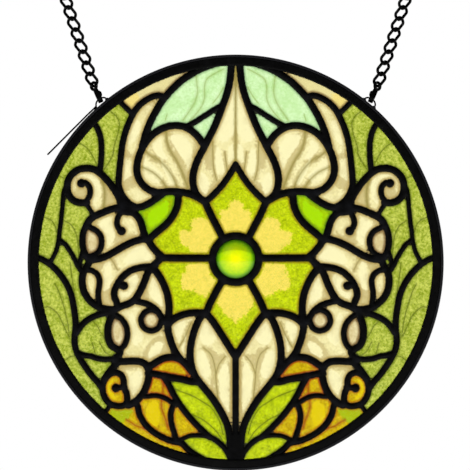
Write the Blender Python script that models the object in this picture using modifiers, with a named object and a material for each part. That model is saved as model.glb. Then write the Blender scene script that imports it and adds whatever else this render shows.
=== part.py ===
"""Stained glass suncatcher: a round leaded panel in a channel rim, hung by two short chains.

The front faces -Y and up is +Z. The origin is midway between the two points where the top
rings rest on their hooks. All sizes are in metres.
"""

import math

import bmesh
import bpy
from mathutils import Matrix, Vector
from mathutils.geometry import delaunay_2d_cdt

MM = 0.001

# The panel
PANEL_RADIUS = 100.0 * MM
GLASS_THICKNESS = 3.0 * MM
LEAD_PROUD = 0.8 * MM  # how far the lead stands out from each face of the glass
CLEARANCE = 0.3 * MM  # between two pieces that rest on or in one another

# Widths of the lead cames, seen from the front
LEAD_MAIN = 3.3 * MM
LEAD_MID = 2.9 * MM
LEAD_LIGHT = 2.4 * MM
LEAD_FINE = 2.0 * MM
JEWEL_LEAD = 3.6 * MM
EDGE_LEAD = 3.0 * MM  # the band of lead inside the rim's channel
OVERLAY_STEP = 0.1 * MM  # an overlay's face lies this far behind the other leads'
BALL_RADIUS = 1.9 * MM  # of the solder ball at the end of a curl

# The rim, a channel open towards the middle
RIM_FACE = 5.3 * MM
RIM_WALL = 0.8 * MM
RIM_CHAMFER = 0.7 * MM
RIM_STEPS = 36

# The jewel
JEWEL_RADIUS = 9.3 * MM  # inside of its lead ring
JEWEL_RISE = 3.2 * MM  # of its dome above the face of the glass
JEWEL_STEPS = 16

# The wire loops on the rim
LOOP_ANGLE = 40.0  # degrees from the top of the panel
LOOP_SPAN = 6.1 * MM
LOOP_RISE = 2.9 * MM
LOOP_WIRE = 0.8 * MM
TAIL_ANGLE = 45.0  # where the left loop's free wire leaves the rim
TAIL_LENGTH = 27.0 * MM

# The clasps
CLASP_TILT = 24.6  # degrees from upright
CLASP_LENGTH = 7.6 * MM
CLASP_DEPTH = 5.2 * MM
CLASP_NECK = 2.0 * MM
CLASP_WIDTH = 2.0 * MM
CLASP_BAR = 0.8 * MM
CLASP_HOLE_LENGTH = 4.6 * MM
CLASP_RING_RADIUS = 1.3 * MM
CLASP_RING_WIRE = 0.8 * MM
LEVER_LENGTH = 3.0 * MM
LEVER_BULGE = 1.1 * MM

# The chains
CHAIN_TILT = 18.0  # degrees from upright
CHAIN_LINKS = 8
LINK_PITCH = 5.6 * MM
LINK_WIDTH = 4.5 * MM
LINK_WIRE = 1.05 * MM
LINK_BITE = 0.2 * MM  # how deep two links that bear on each other are fused
LINK_TWIST = 45.0  # degrees that each end of a link is turned

# The top rings
RING_DIAMETER = 12.0 * MM
RING_WIRE = 1.2 * MM
RING_TURN = 38.0  # degrees about the chain's line, to pass square through the last link

# How finely the outlines are drawn
LINE_STEP = 1.6 * MM
OUTLINE_TOLERANCE = 0.55 * MM

LEAD_HALF_DEPTH = GLASS_THICKNESS / 2 + LEAD_PROUD
RIM_LIP = PANEL_RADIUS - RIM_FACE
LEADING_RADIUS = PANEL_RADIUS - RIM_WALL - CLEARANCE

# The cartoon: the middle line of each lead of the left half, from knot to knot, in hundredths of
# the panel's radius from its centre (across, up). "through" leads part two panes. "overlay"
# leads lie on the face of a pane, as the curls, the eyes and the lighter divisions do.
LEADS = {
    "spoke_top": (LEAD_MAIN, "through", [(-5.8, 11.2), (-8.0, 15.5), (-9.8, 19.0), (-11.6, 22.4),
        (-13.2, 25.8), (-14.6, 29.3)]),
    "spoke_left": (LEAD_MAIN, "through", [(-11.2, 2.2), (-24.0, 2.2), (-35.6, 2.3)]),
    "spoke_low": (LEAD_MAIN, "through", [(-5.8, -7.6), (-8.1, -11.6), (-10.3, -15.6),
        (-12.4, -19.8), (-14.2, -24.3)]),
    "top_petal": (LEAD_MID, "through", [(-14.6, 29.3), (-11.6, 31.8), (-8.9, 34.5), (-6.2, 37.6),
        (-3.6, 41.2), (-1.4, 44.8), (0.0, 47.2)]),
    "spire": (LEAD_MAIN, "through", [(-1.9, 96.0), (-2.3, 91.8), (-2.7, 88.0), (-3.4, 84.2),
        (-4.5, 80.3), (-6.0, 76.2), (-8.2, 70.2), (-10.2, 65.4), (-12.8, 60.2), (-15.4, 55.0),
        (-17.9, 50.2), (-19.8, 45.2), (-20.6, 40.6), (-20.2, 36.4), (-18.6, 32.6),
        (-15.4, 29.6)]),
    "mint_divide": (LEAD_LIGHT, "overlay", [(-6.6, 75.4), (-9.8, 73.9), (-13.0, 71.8),
        (-16.0, 69.9), (-19.3, 67.8), (-22.3, 66.2), (-24.6, 65.0)]),
    "shell_brow": (LEAD_MAIN, "through", [(-15.2, 56.4), (-17.6, 60.0), (-20.5, 62.9),
        (-23.6, 64.9), (-26.8, 65.8), (-30.0, 65.9), (-33.2, 65.3), (-36.4, 64.0),
        (-39.4, 62.0), (-42.2, 59.2), (-44.6, 55.6), (-46.4, 51.4), (-47.4, 47.0),
        (-47.4, 43.4), (-46.3, 39.9), (-44.2, 37.0), (-41.4, 34.9), (-37.8, 33.8)]),
    "shell_foot": (LEAD_MAIN, "through", [(-14.6, 29.3), (-17.0, 30.6), (-20.0, 32.2),
        (-23.4, 33.4), (-27.0, 34.0), (-31.0, 34.2), (-35.0, 33.9), (-39.2, 33.6)]),
    "mint_edge": (LEAD_MAIN, "through", [(-9.0, 96.0), (-14.0, 94.3), (-17.8, 92.7),
        (-21.0, 90.9), (-24.0, 89.0), (-27.0, 86.7), (-30.0, 83.9), (-32.8, 80.9),
        (-35.3, 77.8), (-37.8, 73.8), (-40.2, 69.4), (-42.0, 65.4), (-43.4, 61.4),
        (-44.9, 55.8)]),
    "sliver_edge": (LEAD_MID, "through", [(-34.4, 79.4), (-37.0, 80.4), (-39.6, 79.9),
        (-42.2, 78.7), (-45.0, 76.8), (-47.4, 74.4), (-49.4, 71.4), (-51.0, 68.0),
        (-52.4, 64.6), (-53.6, 60.8), (-54.5, 56.6), (-55.1, 52.0), (-55.7, 46.4),
        (-56.2, 41.0), (-56.2, 37.2), (-55.2, 33.8), (-53.4, 30.8), (-51.0, 28.4),
        (-48.4, 26.9)]),
    "sliver_end": (LEAD_LIGHT, "through", [(-57.6, 79.6), (-54.2, 75.9), (-50.4, 72.2)]),
    "olive_divide": (LEAD_LIGHT, "overlay", [(-68.9, 68.0), (-67.2, 65.9), (-65.8, 63.0),
        (-64.8, 59.2), (-64.5, 54.0), (-64.7, 49.6), (-65.2, 44.6)]),
    "scroll_back": (LEAD_MAIN, "through", [(-54.8, 27.0), (-56.0, 31.0), (-58.0, 34.6),
        (-60.2, 37.8), (-62.6, 40.6), (-65.4, 43.2), (-68.6, 45.0), (-72.4, 45.4),
        (-75.8, 44.6), (-78.6, 42.6), (-80.4, 39.8), (-81.0, 36.6), (-80.6, 33.6),
        (-79.2, 31.0), (-77.0, 29.4), (-74.4, 28.8), (-71.6, 29.0)]),
    "scroll_curl": (LEAD_LIGHT, "overlay", [(-74.2, 38.2), (-72.3, 38.5), (-70.8, 37.2),
        (-70.0, 35.0), (-70.2, 32.4), (-71.4, 30.2), (-72.8, 28.8)]),
    "scroll_foot": (LEAD_FINE, "through", [(-71.8, 28.6), (-71.1, 27.2), (-69.8, 25.2),
        (-68.4, 23.0)]),
    "scroll_floor": (LEAD_MAIN, "through", [(-72.0, 17.4), (-70.4, 20.3), (-68.0, 22.2),
        (-65.0, 23.6), (-61.8, 25.0), (-58.6, 26.0), (-55.2, 26.6), (-51.8, 26.6),
        (-48.4, 26.5), (-45.2, 26.9), (-42.2, 28.2), (-39.2, 30.1), (-36.6, 32.0),
        (-34.6, 33.6)]),
    "pod_edge": (LEAD_MAIN, "through", [(-27.6, 33.6), (-27.7, 29.6), (-28.3, 26.6),
        (-29.4, 24.0), (-31.0, 21.3), (-33.2, 18.7), (-36.0, 16.2), (-38.8, 13.9),
        (-41.6, 11.4)]),
    "olive_fence": (LEAD_FINE, "through", [(-81.0, 37.4), (-82.4, 35.0), (-83.0, 31.0),
        (-83.3, 27.0), (-83.7, 23.0), (-84.1, 19.0), (-84.7, 15.0), (-85.0, 11.6),
        (-85.6, 8.4), (-86.5, 5.2), (-87.9, 2.4), (-89.0, 0.4)]),
    "flank_edge": (LEAD_MID, "through", [(-97.0, 2.9), (-93.6, 1.8), (-91.0, 0.4),
        (-88.4, -1.5), (-85.9, -3.9), (-83.6, -6.7), (-81.5, -9.9), (-79.9, -13.2),
        (-78.7, -16.8), (-78.0, -20.6), (-77.4, -24.4), (-77.0, -28.2), (-77.0, -32.0),
        (-77.4, -35.6), (-77.4, -39.0), (-76.7, -42.2), (-75.2, -45.4), (-73.4, -48.4),
        (-71.2, -51.6), (-68.9, -54.6), (-66.4, -57.4), (-64.6, -60.0)]),
    "olive_cross": (LEAD_FINE, "overlay", [(-84.8, 11.0), (-82.0, 8.8), (-80.2, 6.4),
        (-78.6, 3.8), (-77.2, 1.2), (-76.0, -1.4), (-74.8, -3.4)]),
    "olive_chip": (LEAD_FINE, "overlay", [(-73.4, 6.0), (-74.2, 3.0), (-74.9, 0.4),
        (-74.9, -2.4), (-73.8, -5.0)]),
    "upper_eye_left": (LEAD_MID, "through", [(-70.6, 20.0), (-72.4, 16.8), (-73.5, 13.4),
        (-73.7, 10.0), (-73.3, 6.8), (-72.3, 4.2), (-70.4, 2.2), (-68.0, 1.3)]),
    "upper_eye_right": (LEAD_LIGHT, "overlay", [(-71.6, 17.9), (-69.2, 16.6), (-66.6, 15.1),
        (-64.8, 12.6), (-64.4, 9.6), (-65.2, 6.4), (-67.0, 4.2), (-69.8, 3.0)]),
    "middle_ribbon": (LEAD_MAIN, "through", [(-71.6, 2.6), (-68.4, 1.5), (-64.6, 2.2),
        (-61.2, 3.6), (-58.0, 5.4), (-55.0, 7.2), (-52.0, 8.8), (-49.0, 10.1),
        (-46.0, 11.0), (-42.6, 11.3), (-41.0, 9.0), (-39.4, 6.8), (-37.4, 4.6),
        (-35.0, 2.6)]),
    "curl_crown": (LEAD_MAIN, "through", [(-55.6, 25.0), (-52.4, 24.4), (-49.4, 24.0),
        (-47.2, 22.2), (-45.6, 19.4), (-44.7, 16.4), (-43.9, 13.6), (-43.0, 11.0)]),
    "middle_curl": (LEAD_LIGHT, "overlay", [(-54.9, 15.2), (-56.5, 16.9), (-57.1, 19.2),
        (-56.6, 21.6), (-55.2, 24.4)]),
    "lower_eye_left": (LEAD_MAIN, "through", [(-70.0, 1.6), (-71.4, -1.8), (-73.2, -4.8),
        (-73.8, -8.0), (-73.6, -11.2), (-72.8, -14.2), (-71.0, -17.2), (-68.6, -19.6),
        (-65.6, -21.4), (-62.2, -22.4), (-58.8, -22.6)]),
    "lower_eye_right": (LEAD_LIGHT, "overlay", [(-71.6, -3.0), (-68.8, -4.0), (-66.6, -5.6),
        (-65.5, -8.2), (-65.6, -11.2), (-66.1, -14.4), (-66.0, -17.4), (-65.4, -20.6)]),
    "hook_back": (LEAD_MID, "overlay", [(-40.6, -1.8), (-43.6, -2.1), (-46.8, -2.6),
        (-50.0, -3.6), (-52.8, -5.4), (-55.2, -7.8), (-57.0, -10.6), (-58.2, -13.4),
        (-58.4, -16.2), (-57.4, -18.6), (-56.6, -21.0)]),
    "hook_curl": (LEAD_FINE, "overlay", [(-53.8, -11.1), (-55.4, -10.7), (-57.2, -11.6)]),
    "hook_front": (LEAD_MAIN, "through", [(-36.0, 2.2), (-38.4, -0.4), (-40.9, -2.6),
        (-42.6, -5.8), (-43.9, -9.2), (-45.4, -12.6), (-47.0, -15.6), (-49.0, -18.2),
        (-51.8, -19.9), (-55.0, -21.0), (-58.2, -22.6)]),
    "hook_sill": (LEAD_MID, "through", [(-49.0, -18.4), (-45.8, -19.0), (-42.6, -19.9),
        (-39.8, -21.4), (-37.5, -23.4), (-35.8, -26.0), (-33.6, -29.0)]),
    "flower_foot": (LEAD_MAIN, "through", [(-38.4, -0.4), (-39.1, -2.8), (-37.5, -5.3),
        (-35.7, -8.2), (-34.2, -11.4), (-33.0, -14.8), (-32.3, -18.2), (-32.0, -21.6),
        (-32.2, -25.2), (-32.6, -29.0), (-32.5, -32.4), (-31.7, -36.0), (-30.5, -39.6),
        (-29.0, -43.0), (-26.6, -46.4)]),
    "low_petal": (LEAD_MAIN, "through", [(-14.2, -24.3), (-17.6, -24.1), (-21.0, -24.2),
        (-24.4, -24.8), (-27.6, -25.9), (-30.4, -27.6), (-32.4, -29.6)]),
    "small_sepal": (LEAD_MAIN, "through", [(-15.2, -24.2), (-17.6, -27.4), (-19.3, -31.2),
        (-20.6, -35.2), (-21.5, -39.2), (-21.9, -43.2), (-21.7, -47.2), (-20.9, -51.0),
        (-19.4, -54.6), (-17.0, -58.0), (-14.2, -61.4), (-11.2, -65.2), (-8.4, -69.4),
        (-5.9, -73.8), (-4.0, -78.2), (-3.0, -82.4), (-2.6, -86.4), (-2.3, -90.6),
        (-2.1, -96.0)]),
    "bottom_petal": (LEAD_MAIN, "through", [(-14.2, -24.3), (-11.6, -27.4), (-9.2, -30.8),
        (-6.8, -34.6), (-4.4, -38.4), (-2.0, -42.2), (0.0, -45.4)]),
    "low_eye": (LEAD_LIGHT, "overlay", [(-35.6, -27.8), (-37.1, -31.3), (-40.6, -32.8),
        (-44.1, -31.3), (-45.6, -27.8), (-44.1, -24.3), (-40.6, -22.6), (-37.4, -23.8)]),
    "leaf_top": (LEAD_MID, "through", [(-57.6, -22.2), (-62.0, -24.0), (-65.8, -25.0),
        (-69.2, -26.4), (-72.2, -28.3), (-74.6, -30.8), (-76.6, -33.8)]),
    "oval_eye_left": (LEAD_MAIN, "through", [(-58.4, -22.4), (-60.0, -26.4), (-61.2, -30.0),
        (-61.5, -33.6), (-61.0, -37.2), (-59.6, -40.0), (-57.4, -41.4), (-55.6, -42.6),
        (-56.6, -45.2), (-58.4, -47.0)]),
    "oval_eye_right": (LEAD_LIGHT, "overlay", [(-57.4, -25.2), (-54.8, -27.2), (-52.8, -30.2),
        (-52.0, -33.8), (-52.5, -37.4), (-54.2, -40.6), (-56.4, -41.8)]),
    "leaf_foot": (LEAD_LIGHT, "overlay", [(-76.0, -43.4), (-72.6, -44.6), (-69.6, -45.0),
        (-66.6, -46.0), (-63.0, -46.5), (-59.6, -46.3), (-57.0, -45.2)]),
    "tear_brow": (LEAD_MAIN, "through", [(-63.2, -56.2), (-61.0, -53.0), (-58.6, -50.0),
        (-56.4, -47.9), (-52.4, -47.5), (-48.4, -47.4), (-45.2, -47.8), (-42.8, -49.6),
        (-41.7, -52.4), (-41.9, -55.6), (-42.8, -59.0), (-44.2, -62.2), (-46.2, -64.9),
        (-48.8, -67.2), (-51.6, -68.6)]),
    "cap_brow": (LEAD_MAIN, "through", [(-42.4, -50.6), (-40.2, -49.2), (-37.6, -47.5),
        (-34.8, -46.1), (-31.8, -45.5), (-28.8, -45.7), (-26.0, -47.0), (-23.6, -49.2),
        (-21.2, -52.2)]),
    "cap_foot": (LEAD_MID, "overlay", [(-42.2, -53.2), (-39.2, -53.5), (-36.0, -54.2),
        (-33.0, -54.9)]),
    "lime_brow": (LEAD_MAIN, "through", [(-34.6, -54.5), (-31.2, -55.2), (-28.0, -55.7),
        (-24.8, -56.3), (-21.6, -57.2), (-17.6, -57.4)]),
    "lime_edge": (LEAD_MID, "through", [(-34.4, -54.8), (-32.4, -58.2), (-30.7, -61.6),
        (-29.0, -64.8), (-27.0, -68.0), (-24.8, -71.0), (-22.4, -74.0), (-19.8, -76.9),
        (-17.1, -79.7), (-14.2, -82.4), (-12.4, -83.9)]),
    "amber_brow": (LEAD_FINE, "overlay", [(-45.2, -64.2), (-42.4, -64.3), (-39.2, -63.9),
        (-36.0, -64.4), (-33.2, -65.6), (-30.4, -67.4), (-27.6, -68.4)]),
    "amber_divide": (LEAD_LIGHT, "overlay", [(-29.2, -66.4), (-30.5, -69.8), (-31.2, -73.0),
        (-31.0, -76.4), (-30.2, -79.8), (-29.1, -83.0), (-28.2, -86.2)]),
    "strip_edge": (LEAD_MID, "through", [(-48.0, -66.6), (-47.0, -69.6), (-46.4, -72.4),
        (-45.3, -75.0), (-43.6, -77.6), (-41.4, -79.9), (-38.4, -82.2), (-35.2, -84.0),
        (-32.0, -85.4), (-28.6, -86.3), (-25.8, -87.0), (-23.4, -89.4), (-20.6, -91.6),
        (-17.0, -93.8), (-13.0, -96.0)]),
    "leaf_crown": (LEAD_FINE, "through", [(-28.2, -86.3), (-25.4, -84.7), (-22.4, -83.4),
        (-19.2, -83.0), (-16.0, -83.2), (-12.6, -84.0)]),
    "leaf_divide": (LEAD_LIGHT, "overlay", [(-13.4, -83.4), (-10.2, -85.0), (-7.0, -87.4),
        (-4.6, -90.2), (-3.0, -93.2), (-2.2, -96.0)]),
    "bean_ring": (LEAD_MID, "through", [(-53.9, -60.2), (-53.8, -57.0), (-54.9, -54.2),
        (-57.4, -52.9), (-60.2, -53.6), (-62.6, -55.8), (-63.9, -59.0), (-63.8, -62.4),
        (-62.5, -65.6), (-60.2, -68.0), (-57.2, -68.9), (-54.2, -68.8), (-52.4, -67.2),
        (-52.2, -64.4), (-52.8, -62.0), (-53.9, -60.0)]),
    "bean_tongue": (LEAD_LIGHT, "overlay", [(-57.6, -60.3), (-55.6, -60.1), (-53.2, -60.0)]),
    "strip_end": (LEAD_FINE, "through", [(-64.4, -73.6), (-62.0, -71.0), (-59.8, -67.6)]),
    "stem": (LEAD_MID, "through", [(0.0, -44.0), (0.0, -60.0), (0.0, -78.0), (0.0, -97.0)]),
}
ON_AXIS = {"stem"}
BALLS = {"scroll_curl", "middle_curl", "hook_curl", "bean_tongue"}  # begin at a ball
JEWEL_CENTRE = (0.0, 1.7)

# Each pane: a point inside it, in the same hundredths, and its kind of glass
PANES = {
    "mint_leaf": ((-20.0, 79.0), "mint"),
    "top_sliver": ((-38.0, 84.4), "straw"),
    "crescent": ((-49.2, 61.0), "cream"),
    "shell": ((-33.0, 49.0), "cream"),
    "upper_scroll": ((-65.4, 35.0), "cream"),
    "pod": ((-38.5, 23.0), "green"),
    "upper_petal": ((-22.0, 15.0), "lime_honey"),
    "olive_shoulder": ((-74.0, 52.0), "olive"),
    "olive_middle": ((-78.5, 18.0), "olive"),
    "middle_scroll": ((-60.6, 12.0), "cream"),
    "lower_scroll": ((-61.5, -7.0), "cream"),
    "lower_petal": ((-22.0, -10.0), "lime_honey"),
    "olive_flank": ((-87.0, -22.0), "olive"),
    "fin": ((-39.0, -13.5), "cream"),
    "bottom_scroll": ((-46.0, -39.5), "cream"),
    "olive_leaf": ((-69.5, -36.5), "olive"),
    "small_sepal": ((-26.0, -32.0), "cream"),
    "large_sepal": ((-12.0, -47.0), "cream"),
    "teardrop": ((-48.4, -55.5), "cream"),
    "bean": ((-61.2, -60.0), "amber"),
    "amber_cluster": ((-39.5, -71.5), "amber"),
    "lime_leaf": ((-16.5, -70.5), "lime"),
    "border_strip": ((-45.5, -80.6), "amber"),
}
AXIS_PANES = {
    "spire": ((0.0, 60.0), "cream"),
    "top_petal": ((0.0, 27.0), "lime_honey"),
    "bottom_petal": ((0.0, -24.0), "lime_honey"),
}
GLASS = {  # colour, roughness
    "mint": ((0.60, 0.82, 0.38), 0.12),
    "straw": ((0.74, 0.66, 0.30), 0.12),
    "cream": ((0.77, 0.69, 0.35), 0.14),
    "olive": ((0.38, 0.46, 0.05), 0.16),
    "green": ((0.34, 0.56, 0.01), 0.10),
    "lime": ((0.42, 0.50, 0.01), 0.12),
    "lime_honey": ((0.66, 0.60, 0.04), 0.12),
    "amber": ((0.50, 0.32, 0.01), 0.12),
    "jewel": ((0.42, 0.70, 0.01), 0.05),
}


def clear_scene():
    for ob in list(bpy.data.objects):
        bpy.data.objects.remove(ob, do_unlink=True)


def new_collection(name):
    found = bpy.data.collections.new(name)
    bpy.context.scene.collection.children.link(found)
    return found


def new_material(name, colour, roughness, metallic=0.0, alpha=1.0):
    mat = bpy.data.materials.new(name)
    mat.use_nodes = True
    shader = mat.node_tree.nodes["Principled BSDF"]
    shader.inputs["Base Color"].default_value = (*colour, 1.0)
    shader.inputs["Roughness"].default_value = roughness
    shader.inputs["Metallic"].default_value = metallic
    shader.inputs["Alpha"].default_value = alpha
    return mat


def smooth_line(knots, step):
    """Points about step apart on the Catmull-Rom curve through the knots (centripetal, so that
    it neither loops nor overshoots where knots are unevenly spaced)."""
    p = [Vector(k) for k in knots]
    p = [2 * p[0] - p[1], *p, 2 * p[-1] - p[-2]]
    out = [p[1].copy()]
    for a, b, c, d in zip(p, p[1:], p[2:], p[3:]):
        t = [0.0]
        for q, r in ((a, b), (b, c), (c, d)):
            t.append(t[-1] + max((r - q).length, 1e-9) ** 0.5)
        count = max(1, math.ceil((c - b).length / step))
        for i in range(1, count + 1):
            s = t[1] + (t[2] - t[1]) * i / count
            ab = a.lerp(b, (s - t[0]) / (t[1] - t[0]))
            bc = b.lerp(c, (s - t[1]) / (t[2] - t[1]))
            cd = c.lerp(d, (s - t[2]) / (t[3] - t[2]))
            abc = ab.lerp(bc, (s - t[0]) / (t[2] - t[0]))
            bcd = bc.lerp(cd, (s - t[1]) / (t[3] - t[1]))
            out.append(abc.lerp(bcd, (s - t[1]) / (t[2] - t[1])))
    return out


def circle(centre, radius, count, start=0.0):
    turn = 2 * math.pi / count
    return [
        Vector((centre[0] + radius * math.cos(start + turn * i),
            centre[1] + radius * math.sin(start + turn * i)))
        for i in range(count)
    ]


def is_convex(ring):
    turned = [(b - a).cross(c - b) for a, b, c in zip(ring, ring[1:] + ring[:1],
        ring[2:] + ring[:2])]
    return min(turned) > 0


def ribbon(line, half):
    """The faces of a band of the half-width given along a line of 2D points. Where the line
    turns too sharply for a quad from side to side, a straight piece and two discs fill it."""
    left, right = [], []
    for i, p in enumerate(line):
        along = line[min(i + 1, len(line) - 1)] - line[max(i - 1, 0)]
        side = Vector((-along.y, along.x)).normalized() * half
        left.append(p + side)
        right.append(p - side)
    faces = []
    for i, (p, q) in enumerate(zip(line, line[1:])):
        quad = [right[i], right[i + 1], left[i + 1], left[i]]
        if not is_convex(quad):
            side = Vector((p.y - q.y, q.x - p.x)).normalized() * half
            quad = [p - side, q - side, q + side, p + side]
            faces += [circle(p, half, 14, 0.2), circle(q, half, 14, 0.2)]
        faces.append(quad)
    return faces


def band(outer, inner):
    """The quads between two rings of as many points."""
    n = len(outer)
    return [[inner[i], outer[i], outer[(i + 1) % n], inner[(i + 1) % n]] for i in range(n)]


def is_anticlockwise(ring):
    return sum(a.x * b.y - b.x * a.y for a, b in zip(ring, ring[1:] + ring[:1])) > 0


def lead_faces(layer):
    """Every face of the cartoon that is lead in this layer."""
    faces = []
    for name, (width, its_layer, knots) in LEADS.items():
        if its_layer != layer:
            continue
        half = width / 2
        for side in (1,) if name in ON_AXIS else (1, -1):
            points = [(side * x * PANEL_RADIUS / 100, z * PANEL_RADIUS / 100) for x, z in knots]
            line = smooth_line(points, LINE_STEP)
            faces += ribbon(line, half)
            faces += [circle(line[0], half, 8, 0.2), circle(line[-1], half, 8, 0.2)]
            if name in BALLS:
                faces.append(circle(line[0], BALL_RADIUS, 12, 0.1))
    if layer == "through":
        c = [v * PANEL_RADIUS / 100 for v in JEWEL_CENTRE]
        faces += band(circle(c, JEWEL_RADIUS + JEWEL_LEAD, 40), circle(c, JEWEL_RADIUS, 40))
        faces += band(circle((0, 0), LEADING_RADIUS, 120),
            circle((0, 0), LEADING_RADIUS - EDGE_LEAD, 120))
    return [f if is_anticlockwise(f) else f[::-1] for f in faces]


class Plan:
    """The plane cut along every edge of the faces given: which triangles of it they cover, and
    the outline of each covered or open region."""

    def __init__(self, faces):
        points, rings = [], []
        for face in faces:
            rings.append(range(len(points), len(points) + len(face)))
            points += face
        scale = 1 / MM
        out = delaunay_2d_cdt([p * scale for p in points], [], [list(r) for r in rings], 0, 1e-5)
        self.points = [p / scale for p in out[0]]
        self.triangles = [tuple(t) for t in out[2]]
        self.covered = [bool(src) for src in out[5]]
        self.edges = {}
        for i, t in enumerate(self.triangles):
            for a, b in zip(t, t[1:] + t[:1]):
                self.edges[a, b] = i
        self.region = self.flood()

    def flood(self):
        region = [None] * len(self.triangles)
        count = 0
        for first in range(len(self.triangles)):
            if region[first] is not None:
                continue
            region[first] = count
            todo = [first]
            while todo:
                here = todo.pop()
                t = self.triangles[here]
                for a, b in zip(t, t[1:] + t[:1]):
                    there = self.edges.get((b, a))
                    if (there is not None and region[there] is None
                            and self.covered[there] == self.covered[here]):
                        region[there] = count
                        todo.append(there)
            count += 1
        return region

    def region_at(self, x, z):
        for i, t in enumerate(self.triangles):
            a, b, c = (self.points[k] for k in t)
            turns = [(q.x - p.x) * (z - p.y) - (q.y - p.y) * (x - p.x)
                for p, q in ((a, b), (b, c), (c, a))]
            if min(turns) >= 0:
                return self.region[i]
        return None

    def outlines(self, number):
        """The closed outlines of a region, the longest first."""
        following = {}
        for (a, b), i in self.edges.items():
            other = self.edges.get((b, a))
            if self.region[i] == number and (other is None or self.region[other] != number):
                following.setdefault(a, []).append(b)
        loops = []
        while following:
            start = next(iter(following))
            ring, here = [], start
            while True:
                ways = following[here]
                if len(ways) > 1 and ring:
                    back = self.points[ring[-1]] - self.points[here]
                    ways.sort(key=lambda w: turn_angle(back, self.points[w] - self.points[here]))
                ahead = ways.pop(0)
                if not ways:
                    del following[here]
                ring.append(here)
                here = ahead
                if here == start:
                    break
            loops.append([self.points[k] for k in ring])
        return sorted(loops, key=lambda r: -abs(ring_area(r)))


def turn_angle(back, ahead):
    """How far to turn clockwise from the way back to the way ahead."""
    return (math.atan2(back.y, back.x) - math.atan2(ahead.y, ahead.x)) % (2 * math.pi)


def ring_area(ring):
    return sum(a.x * b.y - b.x * a.y for a, b in zip(ring, ring[1:] + ring[:1])) / 2


def strays(line, a, b):
    """How far the points of a line stray from the chord between two of them."""
    along = line[b] - line[a]
    length = max(along.length, 1e-12)
    return max(
        (abs((line[i] - line[a]).cross(along)) / length for i in range(a + 1, b)), default=0.0)


def sharpest(ring):
    """The point where a ring turns most."""
    def turn(i):
        before, after = ring[i] - ring[i - 1], ring[(i + 1) % len(ring)] - ring[i]
        return abs(before.angle(after, 0.0))
    return max(range(len(ring)), key=turn)


def thin_ring(ring, tolerance):
    """A closed ring with as few points as the tolerance lets it have: each chord goes as far
    as it can, starting from the sharpest corner."""
    first = sharpest(ring)
    line = ring[first:] + ring[: first + 1]
    kept, here = [], 0
    while here < len(line) - 1:
        kept.append(line[here])
        ahead = here + 1
        while ahead + 1 < len(line) and strays(line, here, ahead + 1) <= tolerance:
            ahead += 1
        here = ahead
    return kept


def meeting(one, other):
    """Where two lines cross, each given as a point and a direction."""
    (p, d), (q, e) = one, other
    cross = d.cross(e)
    return q if abs(cross) < 1e-5 else p + d * ((q - p).cross(e) / cross)


def inset(ring, distance):
    """An anticlockwise ring with each side moved inwards. A side that this would turn round is
    dropped, and its neighbours run on until they meet."""
    lines = []
    for a, b in zip(ring, ring[1:] + ring[:1]):
        d = (b - a).normalized()
        lines.append((a + Vector((-d.y, d.x)) * distance, d))
    while True:
        corners = [meeting(lines[i - 1], lines[i]) for i in range(len(lines))]
        runs = [(corners[(i + 1) % len(lines)] - corners[i]).dot(lines[i][1])
            for i in range(len(lines))]
        if min(runs) > 0.0:
            return corners
        del lines[runs.index(min(runs))]


def flat_curve(name, rings, front, back):
    """A curve object: the outlines, filled and as thick as from front to back (both along Y)."""
    data = bpy.data.curves.new(name, "CURVE")
    data.dimensions = "2D"
    data.fill_mode = "BOTH"
    data.extrude = (back - front) / 2
    for ring in rings:
        spline = data.splines.new("POLY")
        spline.points.add(len(ring) - 1)
        for point, p in zip(spline.points, ring):
            point.co = (p.x, p.y, 0.0, 1.0)
        spline.use_cyclic_u = True
    ob = bpy.data.objects.new(name, data)
    ob.rotation_euler = (math.pi / 2, 0.0, 0.0)
    ob.location = (0.0, (front + back) / 2, 0.0)
    return ob


def wire_curve(name, points, wire, cyclic=False, resolution=1):
    data = bpy.data.curves.new(name, "CURVE")
    data.dimensions = "3D"
    data.bevel_depth = wire / 2
    data.bevel_resolution = resolution
    data.use_fill_caps = True
    spline = data.splines.new("POLY")
    spline.points.add(len(points) - 1)
    for point, p in zip(spline.points, points):
        point.co = (*p, 1.0)
    spline.use_cyclic_u = cyclic
    return bpy.data.objects.new(name, data)


def place(ob, collection, material, parent):
    collection.objects.link(ob)
    ob.data.materials.clear()
    ob.data.materials.append(material)
    ob.parent = parent
    return ob


def as_mesh(ob, collection):
    """The evaluated curve as a mesh object in its place, its caps welded."""
    bpy.context.view_layer.update()
    graph = bpy.context.evaluated_depsgraph_get()
    mesh = bpy.data.meshes.new_from_object(ob.evaluated_get(graph))
    name, matrix = ob.name, ob.matrix_world.copy()
    bpy.data.objects.remove(ob, do_unlink=True)
    bm = bmesh.new()
    bm.from_mesh(mesh)
    bmesh.ops.remove_doubles(bm, verts=bm.verts, dist=1e-7)
    bmesh.ops.recalc_face_normals(bm, faces=bm.faces)
    bm.to_mesh(mesh)
    bm.free()
    found = bpy.data.objects.new(name, mesh)
    found.matrix_world = matrix
    collection.objects.link(found)
    return found


def joined(name, objects, collection):
    """Several mesh objects as one, in world coordinates."""
    bm = bmesh.new()
    for ob in objects:
        part = ob.data.copy()
        part.transform(ob.matrix_world)
        bm.from_mesh(part)
        bpy.data.meshes.remove(part)
        bpy.data.objects.remove(ob, do_unlink=True)
    mesh = bpy.data.meshes.new(name)
    bm.to_mesh(mesh)
    bm.free()
    found = bpy.data.objects.new(name, mesh)
    collection.objects.link(found)
    return found


def unite(ob, tool):
    """Adds the tool's solid to the object's with a Boolean, the tool kept as a wire guide."""
    tool.hide_render = True
    tool.display_type = "WIRE"
    mod = ob.modifiers.new("union", "BOOLEAN")
    mod.operation = "UNION"
    mod.solver = "EXACT"
    mod.object = tool


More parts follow.
